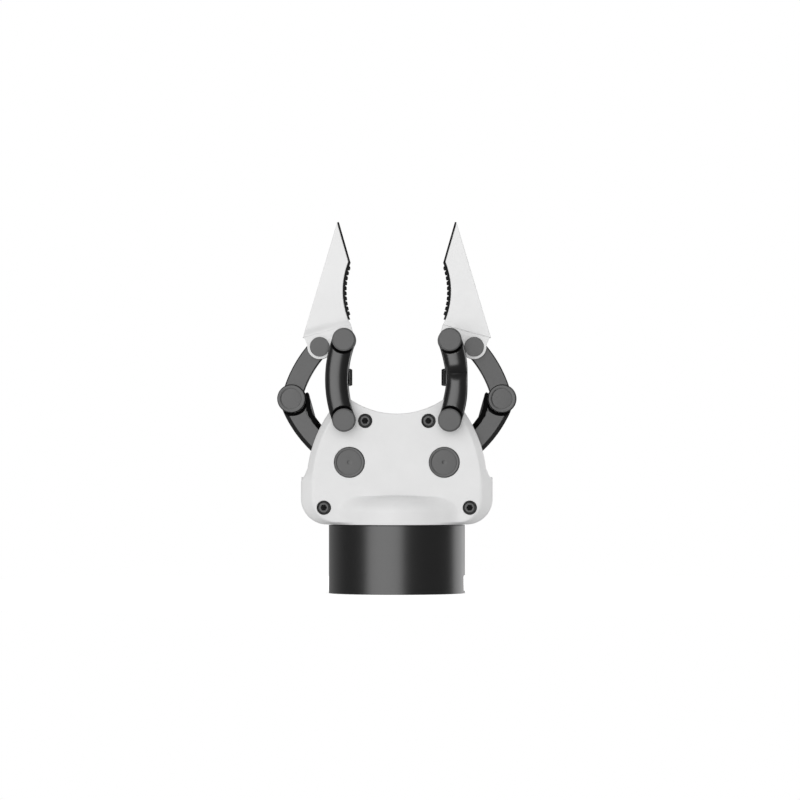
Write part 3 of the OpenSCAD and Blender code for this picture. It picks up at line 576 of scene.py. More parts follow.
class Shell:
    """Closed surfaces in the making, as grids of points and the faces between them."""

    def __init__(self) -> None:
        """Starts with no points."""
        self.points: list[np.ndarray] = []
        self.faces: list[list[int]] = []
        self.count = 0

    def take(self, points: np.ndarray) -> int:
        """Adds points.

        Args:
            points: X, Y and Z in the last axis.

        Returns:
            The number of the first one.
        """
        first = self.count
        flat = points.reshape(-1, 3)
        self.points.append(flat)
        self.count += len(flat)
        return first

    def tube(self, rings: np.ndarray, capped: bool = True) -> "Shell":
        """Joins closed rings of points into a wall, with a flat lid at each end.

        Args:
            rings: Rings by points by 3.
            capped: False leaves the ends open, where the rings shrink to a point.

        Returns:
            This shell.
        """
        rows, columns = rings.shape[:2]
        first = self.take(rings)
        index = np.arange(rows * columns).reshape(rows, columns) + first
        index = np.hstack([index, index[:, :1]])
        quads = np.stack([index[:-1, :-1], index[:-1, 1:], index[1:, 1:], index[1:, :-1]], -1)
        self.faces.extend(quads.reshape(-1, 4).tolist())
        if capped:
            self.faces.append(index[0, -2::-1].tolist())
            self.faces.append(index[-1, :-1].tolist())
        return self

    def turned(self, axis: np.ndarray, profile: np.ndarray) -> "Shell":
        """Turns a profile about a line along Y: x and z run round a circle, y stays.

        Args:
            axis: X and Z of the line.
            profile: Rows of (radius, y), from the axis back to the axis.

        Returns:
            This shell.
        """
        angle = np.linspace(0.0, 2 * np.pi, ROUND_POINTS, endpoint=False)
        radius, depth = profile[:, :1], profile[:, 1:]
        x = axis[0] + radius * np.cos(angle)
        z = axis[1] + radius * np.sin(angle)
        y = np.broadcast_to(depth, x.shape)
        return self.tube(np.stack([x, y, z], -1), capped=False)

    def slab(self, outline: np.ndarray, low: float, high: float, ease: float) -> "Shell":
        """Carries an outline through a depth, with eased edges.

        The outline is drawn in along its own normals by ease * (1 - sin a) while the depth runs
        out by ease * (1 - cos a), so each edge is a quarter round.

        Args:
            outline: Closed line of (x, z).
            low: Lower depth, along Y.
            high: Upper depth.
            ease: Radius of the edges.

        Returns:
            This shell.
        """
        after = np.roll(outline, -1, axis=0)
        forward = after - outline
        length = np.linalg.norm(forward, axis=1, keepdims=True)
        normal = np.stack([forward[:, 1], -forward[:, 0]], -1) / length
        turn = np.sum(outline[:, 0] * after[:, 1] - after[:, 0] * outline[:, 1])
        normal *= np.sign(turn)
        both = normal + np.roll(normal, 1, axis=0)
        mitre = both / np.maximum(np.sum(both * both, axis=1, keepdims=True) / 2, 0.35)
        angle = np.linspace(0.0, np.pi / 2, 5)
        drawn = np.concatenate([ease * (1 - np.sin(angle)), ease * (1 - np.cos(angle))])
        depth = np.concatenate([low + ease * (1 - np.cos(angle)), high - ease * (1 - np.sin(angle))])
        flat = outline[None] - mitre[None] * drawn[:, None, None]
        y = np.broadcast_to(depth[:, None], flat.shape[:2])
        return self.tube(np.stack([flat[..., 0], y, flat[..., 1]], -1))

    def mesh(self, name: str) -> bpy.types.Mesh:
        """The surfaces as a mesh with its faces outwards.

        Args:
            name: Name of the mesh.

        Returns:
            The mesh.
        """
        mesh = bpy.data.meshes.new(name)
        mesh.from_pydata(np.concatenate(self.points).tolist(), [], self.faces)
        made = bmesh.new()
        made.from_mesh(mesh)
        bmesh.ops.remove_doubles(made, verts=made.verts, dist=1e-7)
        bmesh.ops.recalc_face_normals(made, faces=made.faces)
        made.to_mesh(mesh)
        made.free()
        return mesh

    def bored(self, bores: "Shell") -> "Shell":
        """A copy of this shell without the space of another one.

        Args:
            bores: What is cut away.

        Returns:
            The cut shell.
        """
        made = [bpy.data.objects.new(n, s.mesh(n)) for n, s in (("uncut", self), ("bores", bores))]
        for part in made:
            bpy.context.scene.collection.objects.link(part)
        cut = made[0].modifiers.new("bores", "BOOLEAN")
        cut.operation = "DIFFERENCE"
        cut.solver = "EXACT"
        cut.object = made[1]
        whole = made[0].evaluated_get(bpy.context.evaluated_depsgraph_get()).to_mesh()
        points = np.empty(len(whole.vertices) * 3)
        whole.vertices.foreach_get("co", points)
        result = Shell()
        result.take(points.reshape(-1, 3))
        result.faces = [list(face.vertices) for face in whole.polygons]
        meshes = [part.data for part in made]
        for part in made:
            bpy.data.objects.remove(part)
        for mesh in meshes:
            bpy.data.meshes.remove(mesh)
        return result

    def piece(
        self,
        name: str,
        finish: Finish,
        node: str,
        side: Side = Side.RIGHT,
        trim: bool = False,
    ) -> bpy.types.Object:
        """Makes the object, with its faces outwards, its finish and its body.

        Args:
            name: Name of the object.
            finish: Its finish.
            node: Node whose body it rides on, and which it replaces unless it is trim.
            side: LEFT mirrors the points in X.
            trim: True leaves the node in view, under the piece.

        Returns:
            The object.
        """
        turned = Shell()
        turned.points = [p * np.array([side.sign, 1, 1]) for p in self.points]
        turned.faces = self.faces
        mesh = turned.mesh(name)
        mesh.polygons.foreach_set("use_smooth", np.ones(len(mesh.polygons), bool))
        mesh.set_sharp_from_angle(angle=math.radians(SHARP_ANGLE))
        mesh.materials.append(finish.material())
        piece = bpy.data.objects.new(name, mesh)
        bpy.context.scene.collection.objects.link(piece)
        flat = piece.modifiers.new("flat_faces", "WEIGHTED_NORMAL")
        flat.keep_sharp = True
        bodies = frame["record"]["behaviour"]["bodies"]
        body = next(body for body, nodes in bodies.items() if node in nodes)
        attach(piece, body)
        if not trim:
            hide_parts(node)
        LOG.info("built %s: %d faces, rides on %s", name, len(mesh.polygons), body)
        return piece


# ---------------------------------------------------------------- linkage

# Thickness of the flat pin heads
HEAD_HEIGHT = 0.5 * MM
# Depth of the faint grooves and dimples, and half the width of a groove
GROOVE_DEPTH = 0.07 * MM
GROOVE_HALF = 0.22 * MM


def span(node: str, axis: int) -> tuple[float, float]:
    """Lowest and highest place of a node along an axis.

    Args:
        node: Name of the node.
        axis: 0, 1 or 2 for X, Y or Z.

    Returns:
        The two places.
    """
    low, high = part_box(node)
    return low[axis], high[axis]


@dataclass(frozen=True)
class Pivots:
    """Pivots of one side, as (x, z) with X counted outwards."""

    crank: np.ndarray
    link: np.ndarray
    finger: np.ndarray
    coupler: np.ndarray
    elbow: np.ndarray

    @classmethod
    def read(cls, side: Side) -> "Pivots":
        """Reads the joints of a side from the frame.

        Args:
            side: Which side.

        Returns:
            Its pivots.
        """
        places = {j["name"]: j["pos_m"] for j in frame["joints"]}

        def at(name: str) -> np.ndarray:
            """Pivot of a joint, with X outwards."""
            x, _, z = places[side.node(name)]
            return np.array([abs(x), z])

        low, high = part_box(side.node("elbow_pin"))
        elbow = np.array([abs(low[0] + high[0]) / 2, (low[2] + high[2]) / 2])
        return cls(at("crank_turn"), at("link_swing"), at("finger_pivot"), at("coupler_pivot"), elbow)


def disc(
    radius: float, face: float, back: float, ease: float, ring: float = 0.0, hole: float = 0.0
) -> np.ndarray:
    """Profile of a turned disc, from the axis at its face round to the axis at its back.

    Args:
        radius: Its radius.
        face: Depth of the face.
        back: Depth of its back.
        ease: Reach of the round on its rim.
        ring: Radius of a faint groove in the face, 0 for none.
        hole: Radius of a dimple in the middle, 0 for none.

    Returns:
        Rows of (radius, y).
    """
    sunk = math.copysign(GROOVE_DEPTH, back - face)
    line = [(0.0, face + (sunk if hole else 0.0), 0.0)]
    if hole:
        line += [(0.55 * hole, face + sunk, 0.1 * hole), (hole, face, 0.1 * hole)]
    if ring:
        wide = GROOVE_HALF
        line += [(ring - wide, face, 0.0), (ring, face + sunk, wide / 2), (ring + wide, face, 0.0)]
    line += [(radius, face, ease), (radius, back, 0.0), (0.0, back, 0.0)]
    return rounded(line)


# Bridge between the arms: how far its foot lies under the middle and inside the arm's inner edge,
# and its corners in millimetres, as (outwards, up, reach of the easing)
BRIDGE_DROP = 2.8 * MM
BRIDGE_INSET = 0.9 * MM
BRIDGE_CORNERS = np.array(
    [[2, 0, 0], [0, 0, 0.5], [0, 8, 0.5], [4.5, 8, 1.2], [5.3, 4, 1.5], [4.5, 0, 1.2], [2, 0, 0]]
)


@dataclass
class FrontLink:
    """The pair of curved arms that carry a finger, with their flat bosses and bridge.

    Attributes:
        side: Which side it is on.
        pivots: The side's pivots.
        width: Width of an arm.
        thick: Thickness of an arm at its crest.
        bow: Outward bow of the arms.
        flat: Height of the arm's straight flank under its dome.
        boss: Radius of the flat bosses.
        boss_height: Height of the bosses over the arm's inner face.
        waist: Share of the width taken away half way up.
        dent: Share of the dome's height taken away by a crease.
        crease: Place of the crease along the arm, and half its width, as shares of the arm.
        neck: Reach of the dip round a boss.
        sunk: Share of the dome's height that is left in the dip.
        powers: Powers of the section's curve, over the dome and under it.
    """

    side: Side
    pivots: Pivots
    width: float = 10.6 * MM
    thick: float = 5.8 * MM
    bow: float = 3.4 * MM
    flat: float = 1.5 * MM
    boss: float = 5.4 * MM
    boss_height: float = 6.6 * MM
    waist: float = 0.0
    dent: float = 0.0
    crease: tuple[float, float] = (0.58, 0.13)
    neck: float = 1.3 * MM
    sunk: float = 0.3
    powers: tuple[float, float] = (0.85, 0.35)

    def depths(self) -> tuple[float, float]:
        """Depth of the arm's inner face and of its bosses' flat faces, both counted from Y = 0."""
        boss = abs(span(self.side.node("link_pin"), 1)[0]) - HEAD_HEIGHT
        return boss - self.boss_height, boss

    def arm(self, inner: float, top: float) -> np.ndarray:
        """Arm as rings along its arc.

        Over the outer half turn, a ring's width is w cos(a)^n and its height flat + h sin(a)^n, with
        n the first power, and under it the second power squares the curve off. The width shrinks by
        waist * sin(pi t)^6 along the arm. The dome shrinks by dent * (1 - |t - place| / half)^1.9,
        with place and half those of the crease, and it sinks in a ring round each boss.

        Args:
            inner: Depth of the inner face.
            top: Depth of the crest.

        Returns:
            Rings by points by 3.
        """
        arc = Arc.between(self.pivots.link, self.pivots.finger, self.bow)
        t = np.linspace(0.0, 1.0, 151)[:, None]
        a = np.linspace(0.0, 2 * np.pi, 80, endpoint=False)[None]
        pinch = np.sin(np.pi * t)
        shrink = 1.0 - self.waist * pinch**6
        c, s = np.cos(a), np.sin(a)
        under = s < 0
        power = np.where(under, self.powers[1], self.powers[0])
        across = np.sign(c) * np.abs(c) ** power * self.width / 2 * shrink
        crease = np.clip(1.0 - np.abs(t - self.crease[0]) / self.crease[1], 0.0, 1.0) ** 1.9
        crest = (top - inner - self.flat) * (1.0 - self.dent * crease)
        place = arc.points(t, across)
        near = np.minimum(
            np.linalg.norm(place - self.pivots.link, axis=-1),
            np.linalg.norm(place - self.pivots.finger, axis=-1),
        )
        dip = self.sunk + (1.0 - self.sunk) * smooth_step(near, self.boss, self.boss + self.neck)
        lift = np.abs(s) ** power * np.where(under, -self.flat, crest * dip)
        y = -(inner + self.flat + lift)
        return np.stack([place[..., 0], y, place[..., 1]], -1)

    def bridge(self) -> np.ndarray:
        """Outline of the bridge between the arms, a low hump that stands in from their inner edge."""
        up = self.pivots.finger - self.pivots.link
        reach = np.linalg.norm(up)
        up = up / reach
        out = np.array([up[1], -up[0]])
        inset = self.bow - self.width / 2 - BRIDGE_INSET
        foot = self.pivots.link + up * (reach / 2 - BRIDGE_DROP) + out * inset
        steps = rounded(BRIDGE_CORNERS * MM)[:-1]
        return foot + steps[:, :1] * out + steps[:, 1:] * up

    def build(self) -> None:
        """Builds the arms, bosses and bridge as one piece."""
        inner, boss_y = self.depths()
        rings = self.arm(inner, inner + self.thick)
        shell = Shell()
        for flip in (1, -1):
            shell.tube(rings * np.array([1, flip, 1]))
            for pivot in (self.pivots.link, self.pivots.finger):
                profile = disc(self.boss, -boss_y, -inner, 0.35 * MM)
                shell.turned(pivot, profile * np.array([1, flip]))
        shell.slab(self.bridge(), -inner - 1.5 * MM, inner + 1.5 * MM, 1.0 * MM)
        shell.piece(self.side.node("link_arms"), BLACK_ARM, self.side.node("front_link"), self.side)


# Corners of the elbow stop's strip, in millimetres from the elbow: its outer and inner edge
STOP_OUTER = np.array(
    [[-9.9, -7.05], [-9.1, -4.6], [-8.5, -2.4], [-8.2, -0.4], [-7.98, 2.1], [-7.6, 2.75]]
)
STOP_INNER = np.array(
    [[-7.75, -7.9], [-7.0, -4.9], [-6.87, -2.4], [-6.8, -0.3], [-6.85, 1.9], [-6.98, 2.75]]
)
# Inner edge of the face plate past the crank's arc, in millimetres from the elbow
PLATE_INNER = np.array([[-7.75, -7.9], [-7.2, -5.7], [-6.9, -3.4]])
# Depths of the strip's four corners along the crank, and what the stop adds to them, in millimetres
STRIP_DEPTHS = np.array([[4.9, 6.6, 9.15, 7.6]])
STOP_DEPTHS = np.array([[0.5, 2.4, 0.0, 0.82]])


@dataclass
class CrankEdge:
    """Face plates of a crank, and slanted strips along its inner edge and the elbow stop: the slant is real, their
    dull near-black finish is painted shade on the crank's inner wall.

    Attributes:
        side: Which side it is on.
        pivots: The side's pivots.
        bow: Bow of the crank.
        half: Half width of the crank.
        band: Width of the strip.
        rim: Offset of the face plate's outer edge.
        gap: Radius of the plate's round end about the elbow.
        face: Depth of the plate's face.
        skin: How far the strip stands over the crank's inner edge.
        foot: Share of the crank's arc at which the plate starts, out of sight behind the cover.
    """

    side: Side
    pivots: Pivots
    bow: float = 4.0 * MM
    half: float = 5.85 * MM
    band: float = 2.2 * MM
    rim: float = 4.15 * MM
    gap: float = 7.9 * MM
    face: float = 8.95 * MM
    skin: float = 0.03 * MM
    foot: float = 0.22

    def plate(self, arc: Arc, inner: np.ndarray) -> np.ndarray:
        """Rings of the face plate: across the arc at first, then from the strip to the round end.

        Args:
            arc: The crank's arc.
            inner: Strip's inner edge past the arc, from the elbow.

        Returns:
            Rings by points by 3, for the front plate.
        """
        elbow = self.pivots.elbow
        fine = np.linspace(0.5, 1.0, 400)
        away = np.linalg.norm(arc.points(fine, self.rim) - elbow, axis=-1)
        end = float(fine[np.argmax(away < self.gap)])
        first, second = np.linspace(0.0, 1.0, 24)[:-1], np.linspace(0.0, 1.0, 14)
        inwards = self.band - self.half
        path = np.concatenate([arc.points(np.linspace(0.58, 0.64, 3), inwards), elbow + inner])
        steps = np.concatenate([[0.0], np.cumsum(np.linalg.norm(np.diff(path, axis=0), axis=1))])
        last = np.stack([np.interp(second, steps / steps[-1], path[:, k]) for k in (0, 1)], -1)
        near = np.concatenate([arc.points(self.foot + 0.36 * first, inwards), last])
        corner = arc.points(np.array(end), self.rim) - elbow
        tail = last[-1] - elbow
        start, stop = (math.atan2(v[1], v[0]) % (2 * math.pi) for v in (corner, tail))
        turn = start + (stop - start) * 0.97 * second
        round_end = elbow + self.gap * np.stack([np.cos(turn), np.sin(turn)], -1)
        far = np.concatenate([arc.points(self.foot + (end - self.foot) * first, self.rim), round_end])
        ease = np.concatenate([np.full(len(first), 0.35), np.linspace(0.35, 0.9, len(second))]) * MM
        rings = Finger.bars(near, far, MM, ease)
        return rings - np.array([0.0, self.face - MM, 0.0])

    def build(self) -> None:
        """Builds the plates, then the strips as bars whose four-sided rings climb to the stop's top.

        A ring is the outer edge at two depths and the inner edge at two depths. It follows the
        crank's arc at first and then the stop, whose points are set out from the elbow.
        """
        arc = Arc.between(self.pivots.crank, self.pivots.elbow, self.bow)
        t = np.linspace(0.2, 0.64, 22)
        elbow = self.pivots.elbow
        far = np.concatenate([arc.points(t, -self.half - self.skin), elbow + STOP_OUTER * MM])
        near = np.concatenate([arc.points(t, self.band - self.half), elbow + STOP_INNER * MM])
        stop = np.concatenate([smooth_step(t, 0.56, 0.6), np.ones(len(STOP_OUTER))])[:, None]
        depths = STRIP_DEPTHS + stop * STOP_DEPTHS
        flat = np.stack([far, far, near, near], axis=1)
        rings = np.stack([flat[..., 0], -depths * MM, flat[..., 1]], -1)
        shell = Shell()
        for flip in (1, -1):
            shell.tube(rings * np.array([1, flip, 1]))
        crank = self.side.node("crank")
        # The strips' dull near-black finish is painted shade on the crank's inner wall and stop, darker than the
        # crank's own black.
        shell.piece(self.side.node("crank_edge"), PAINTED_SHADE_BLACK, crank, self.side, trim=True)
        plate = self.plate(arc, PLATE_INNER * MM)
        plates = Shell().tube(plate).tube(plate * np.array([1, -1, 1]))
        plates.piece(self.side.node("crank_faces"), GREY_BAR, crank, self.side, trim=True)


@dataclass(frozen=True)
class TurnedPair:
    """A pair of equal turned pieces, one at the front and one at the back, on one axis or more.

    Attributes:
        name: Name of the piece.
        finish: Its finish.
        profile: Rows of (radius, y) of the front one.
        node: Node that it replaces.
    """

    name: str
    finish: Finish
    profile: np.ndarray
    node: str

    def build(self, axes: Sequence[np.ndarray], side: Side = Side.RIGHT, trim: bool = False) -> None:
        """Turns the profile about each axis, at the front and at the back.

        Args:
            axes: Lines along Y, as (x, z).
            side: LEFT mirrors them in X.
            trim: True leaves the node in view.
        """
        shell = Shell()
        for axis in axes:
            for flip in (1, -1):
                shell.turned(axis, self.profile * np.array([1, flip]))
        shell.piece(self.name, self.finish, self.node, side, trim=trim)


@dataclass
class Pins:
    """Pin heads and discs at a side's pivots.

    Attributes:
        side: Which side they are on.
        pivots: The side's pivots.
        head: Radius of the front link's pin heads.
        disc: Radius of the elbow's discs.
        lug: Radius of the coupler pin's heads.
        shade_ring: Radius of the thin dull black rings behind the elbow's discs, painted shade for the shadow
            round their rims.
        rod_radius: Radius of the link and finger pins between their heads.
        lug_rod: Radius of the coupler pin between its heads.
        disc_height: Thickness of the elbow's discs.
    """

    side: Side
    pivots: Pivots
    head: float = 4.9 * MM
    disc: float = 6.45 * MM
    lug: float = 4.5 * MM
    shade_ring: float = 6.62 * MM
    rod_radius: float = 2.5 * MM
    lug_rod: float = 2.2 * MM
    disc_height: float = 2.1 * MM

    def rod(self, profile: np.ndarray, radius: float) -> np.ndarray:
        """Profile of a rod that ends in a head at both ends, from the front axis to the back one.

        Args:
            profile: Profile of the front head, whose last two rows are its back.
            radius: Radius of the rod between the heads.

        Returns:
            Rows of (radius, y).
        """
        neck = np.array([[radius, profile[-1, 1]]])
        half = np.concatenate([profile[:-1], neck])
        return np.concatenate([half, half[::-1] * np.array([1, -1])])

    def build(self) -> None:
        """Builds the pins, the elbow discs and, behind the discs, thin dull black rings that paint the shadow
        round their rims.
        """
        for name, place in (("link_pin", self.pivots.link), ("finger_pin", self.pivots.finger)):
            face = span(self.side.node(name), 1)[0]
            head = disc(self.head, face, face + HEAD_HEIGHT, 0.2 * MM)
            node = self.side.node(name)
            Shell().turned(place, self.rod(head, self.rod_radius)).piece(
                self.side.node(name + "_heads"), GREY_BAR, node, self.side
            )
        node = self.side.node("coupler_pin")
        face = span(node, 1)[0]
        head = disc(self.lug, face, face + HEAD_HEIGHT, 0.15 * MM)
        Shell().turned(self.pivots.coupler, self.rod(head, self.lug_rod)).piece(
            self.side.node("coupler_pin_heads"), GREY_BAR, node, self.side
        )
        node = self.side.node("elbow_caps")
        face = span(node, 1)[0]
        back = face + self.disc_height
        profile = disc(self.disc, face, back, 0.45 * MM, ring=0.72 * self.disc)
        discs = TurnedPair(self.side.node("elbow_discs"), GREY_BAR, profile, node)
        discs.build([self.pivots.elbow], self.side)
        # Painted shade: a 0.1 mm ring of dull near-black just outside each disc's rim, standing for the shadow
        # round the disc.
        profile = disc(self.shade_ring, back - 0.1 * MM, back, 0.03 * MM)
        shade_rings = TurnedPair(self.side.node("elbow_washers"), PAINTED_SHADE_BLACK, profile, node)
        shade_rings.build([self.pivots.elbow], self.side, trim=True)


@dataclass
class Finger:
    """Fingertip shell and toothed pad of one side, set out from the finger's pivots.

    Attributes:
        side: Which side it is on.
        pivots: The side's pivots.
        lip: How far the faces sink towards the lower edge.
        tip: Point of the finger, from the finger's pivot.
        knee: Corner between the toothed hollow and the straight edge.
        heel: Lower end of the hollow.
        hollow: Depth of the hollow.
        strip: Thickness of the pad.
        teeth: Number of ribs.
        rib: Height of the ribs.
        outer: Outer lower corner of the shell, from the coupler's pivot.
        inner: Inner lower corner of the shell, from the finger's pivot.
        ease: Radius of the shell's edges.
        pad_ease: Radius of the pad's edges.
    """

    side: Side
    pivots: Pivots
    lip: float = 0.0
    tip: tuple[float, float] = (2.4 * MM, 54.4 * MM)
    knee: tuple[float, float] = (-2.9 * MM, 36.0 * MM)
    heel: tuple[float, float] = (-2.7 * MM, 9.7 * MM)
    hollow: float = 2.5 * MM
    strip: float = 0.8 * MM
    teeth: int = 10
    rib: float = 0.8 * MM
    outer: tuple[float, float] = (7.8 * MM, 4.2 * MM)
    inner: tuple[float, float] = (-3.1 * MM, 7.0 * MM)
    ease: float = 0.45 * MM
    pad_ease: float = 0.12 * MM

    def lines(self) -> tuple[Arc, np.ndarray, np.ndarray, np.ndarray]:
        """The hollow's arc, the knee's corner behind the strip, and the tip on both its sides."""
        knee = self.pivots.finger + np.array(self.knee)
        tip = self.pivots.finger + np.array(self.tip)
        arc = Arc.between(self.pivots.finger + np.array(self.heel), knee, self.hollow)
        edge = (tip - knee) / np.linalg.norm(tip - knee)
        edge = np.array([edge[1], -edge[0]])
        hollow = (knee - arc.centre) / arc.radius
        mitre = (edge + hollow) / np.linalg.norm(edge + hollow)
        return arc, knee + mitre * self.strip / (mitre @ edge), tip, tip + edge * self.strip

    def rib_height(self, t: np.ndarray) -> np.ndarray:
        """Height of the ribs over the hollow's arc.

        It is rib * (1.9 cos(1.35 pi u))^(1/2), cut off at 0 and at rib, with u running from -1/2 to 1/2
        over each rib's share of the arc.

        Args:
            t: Share of the arc.

        Returns:
            Heights.
        """
        low, high = 0.06, 0.94
        share = (t - low) / (high - low) * self.teeth
        u = share - np.floor(share) - 0.48
        wave = np.clip(1.9 * np.cos(1.35 * np.pi * u), 0.0, 1.0) ** 0.5
        return self.rib * 0.98 * wave * ((t > low) & (t < high))

    @staticmethod
    def bars(
        near: np.ndarray, far: np.ndarray, half: np.ndarray | float, ease: np.ndarray
    ) -> np.ndarray:
        """Rings of a bar whose section runs from one line to another, with round corners.

        A corner is a quarter circle: ease * (1 - cos a) in from the line and ease * (1 - sin a) in
        from the side face.

        Args:
            near: Points (x, z) of the first line, one for each ring.
            far: Points of the second line.
            half: Half depth of the bar, one for all rings or one each.
            ease: Radius of the corners, one for each ring.

        Returns:
            Rings by points by 3.
        """
        angle = np.linspace(0.0, np.pi / 2, 6)
        along, deep = 1 - np.cos(angle), 1 - np.sin(angle)
        length = np.linalg.norm(far - near, axis=1)
        ease = np.minimum(ease, 0.45 * length)[:, None]
        share = ease / length[:, None]
        half = np.broadcast_to(half, length.shape)[:, None]
        a = np.concatenate([share * along, 1 - (share * along)[:, ::-1]], axis=1)
        y = half - np.concatenate([ease * deep, (ease * deep)[:, ::-1]], axis=1)
        a = np.concatenate([a, a[:, ::-1]], axis=1)
        y = np.concatenate([-y, y[:, ::-1]], axis=1)
        flat = near[:, None] + (far - near)[:, None] * a[..., None]
        return np.stack([flat[..., 0], y, flat[..., 1]], -1)

    def build(self) -> None:
        """Builds the shell and the pad, as bars whose rings climb from the heel to the tip."""
        arc, knee_back, tip, tip_back = self.lines()
        knee = self.pivots.finger + np.array(self.knee)
        half = span(self.side.node("fingertip"), 1)[1]
        outer = self.pivots.coupler + np.array(self.outer)
        inner = self.pivots.finger + np.array(self.inner)
        low, up = np.linspace(0.0, 1.0, 61)[:, None], np.linspace(0.0, 1.0, 41)[1:, None]
        behind = arc.points(low[:, 0], self.strip)
        behind[-1] = knee_back
        foot = inner + (behind[0] - inner) * np.linspace(0.0, 1.0, 13)[:-1, None]
        near = np.concatenate([foot, behind, knee_back + (tip_back - knee_back) * up])
        climb = np.concatenate([[0.0], np.cumsum(np.linalg.norm(np.diff(near, axis=0), axis=1))])
        far = outer + (tip_back - outer) * (climb / climb[-1])[:, None]
        near[-1] = tip_back - (far[-2] - near[-2]) * 0.02
        ease = np.full(len(near), self.ease)
        lip = self.lip * (1 - smooth_step(climb, 0.0, 4.5 * MM)) ** 1.5
        rings = self.bars(near, far, half - lip, ease)
        start = self.bars(near[:1], far[:1], half - lip[:1] - 0.25 * MM, ease[:1])
        middle = start.mean(axis=1, keepdims=True)
        start = middle + (start - middle) * np.array([0.99, 1.0, 0.99])
        Shell().tube(np.concatenate([start, rings])).piece(
            self.side.node("tip_shell"), WHITE_PAINTED_LIGHTER, self.side.node("fingertip"), self.side
        )
        t = np.linspace(0.0, 1.0, 481)
        front = arc.points(t, -self.rib_height(t))
        back = arc.points(t, self.strip)
        back[-1] = knee_back
        front = np.concatenate([front, knee + (tip - knee) * up])
        back = np.concatenate([back, knee_back + (tip_back - knee_back) * up])
        half = span(self.side.node("finger_pad"), 1)[1]
        pad = self.bars(front, back, half, np.full(len(front), self.pad_ease))
        Shell().tube(pad).piece(
            self.side.node("ribbed_pad"), RUBBER, self.side.node("finger_pad"), self.side
        )


# ---------------------------------------------------------------- body


# Ends of the bores and depth of the screws' counterbores, along Y towards the front
BORE_FRONT = -24 * MM
BORE_BACK = -4 * MM
COUNTERBORE = -16.8 * MM
# Notch where the cheeks' top meets the cover, in millimetres, as (outwards, up)
NOTCH = np.array(
    [[0.0, -2.0], [-0.1, -1.2], [-0.5, -0.5], [-1.2, 0.5], [-1.8, 1.4], [-2.1, 2.2], [-2.5, 3.2]]
)


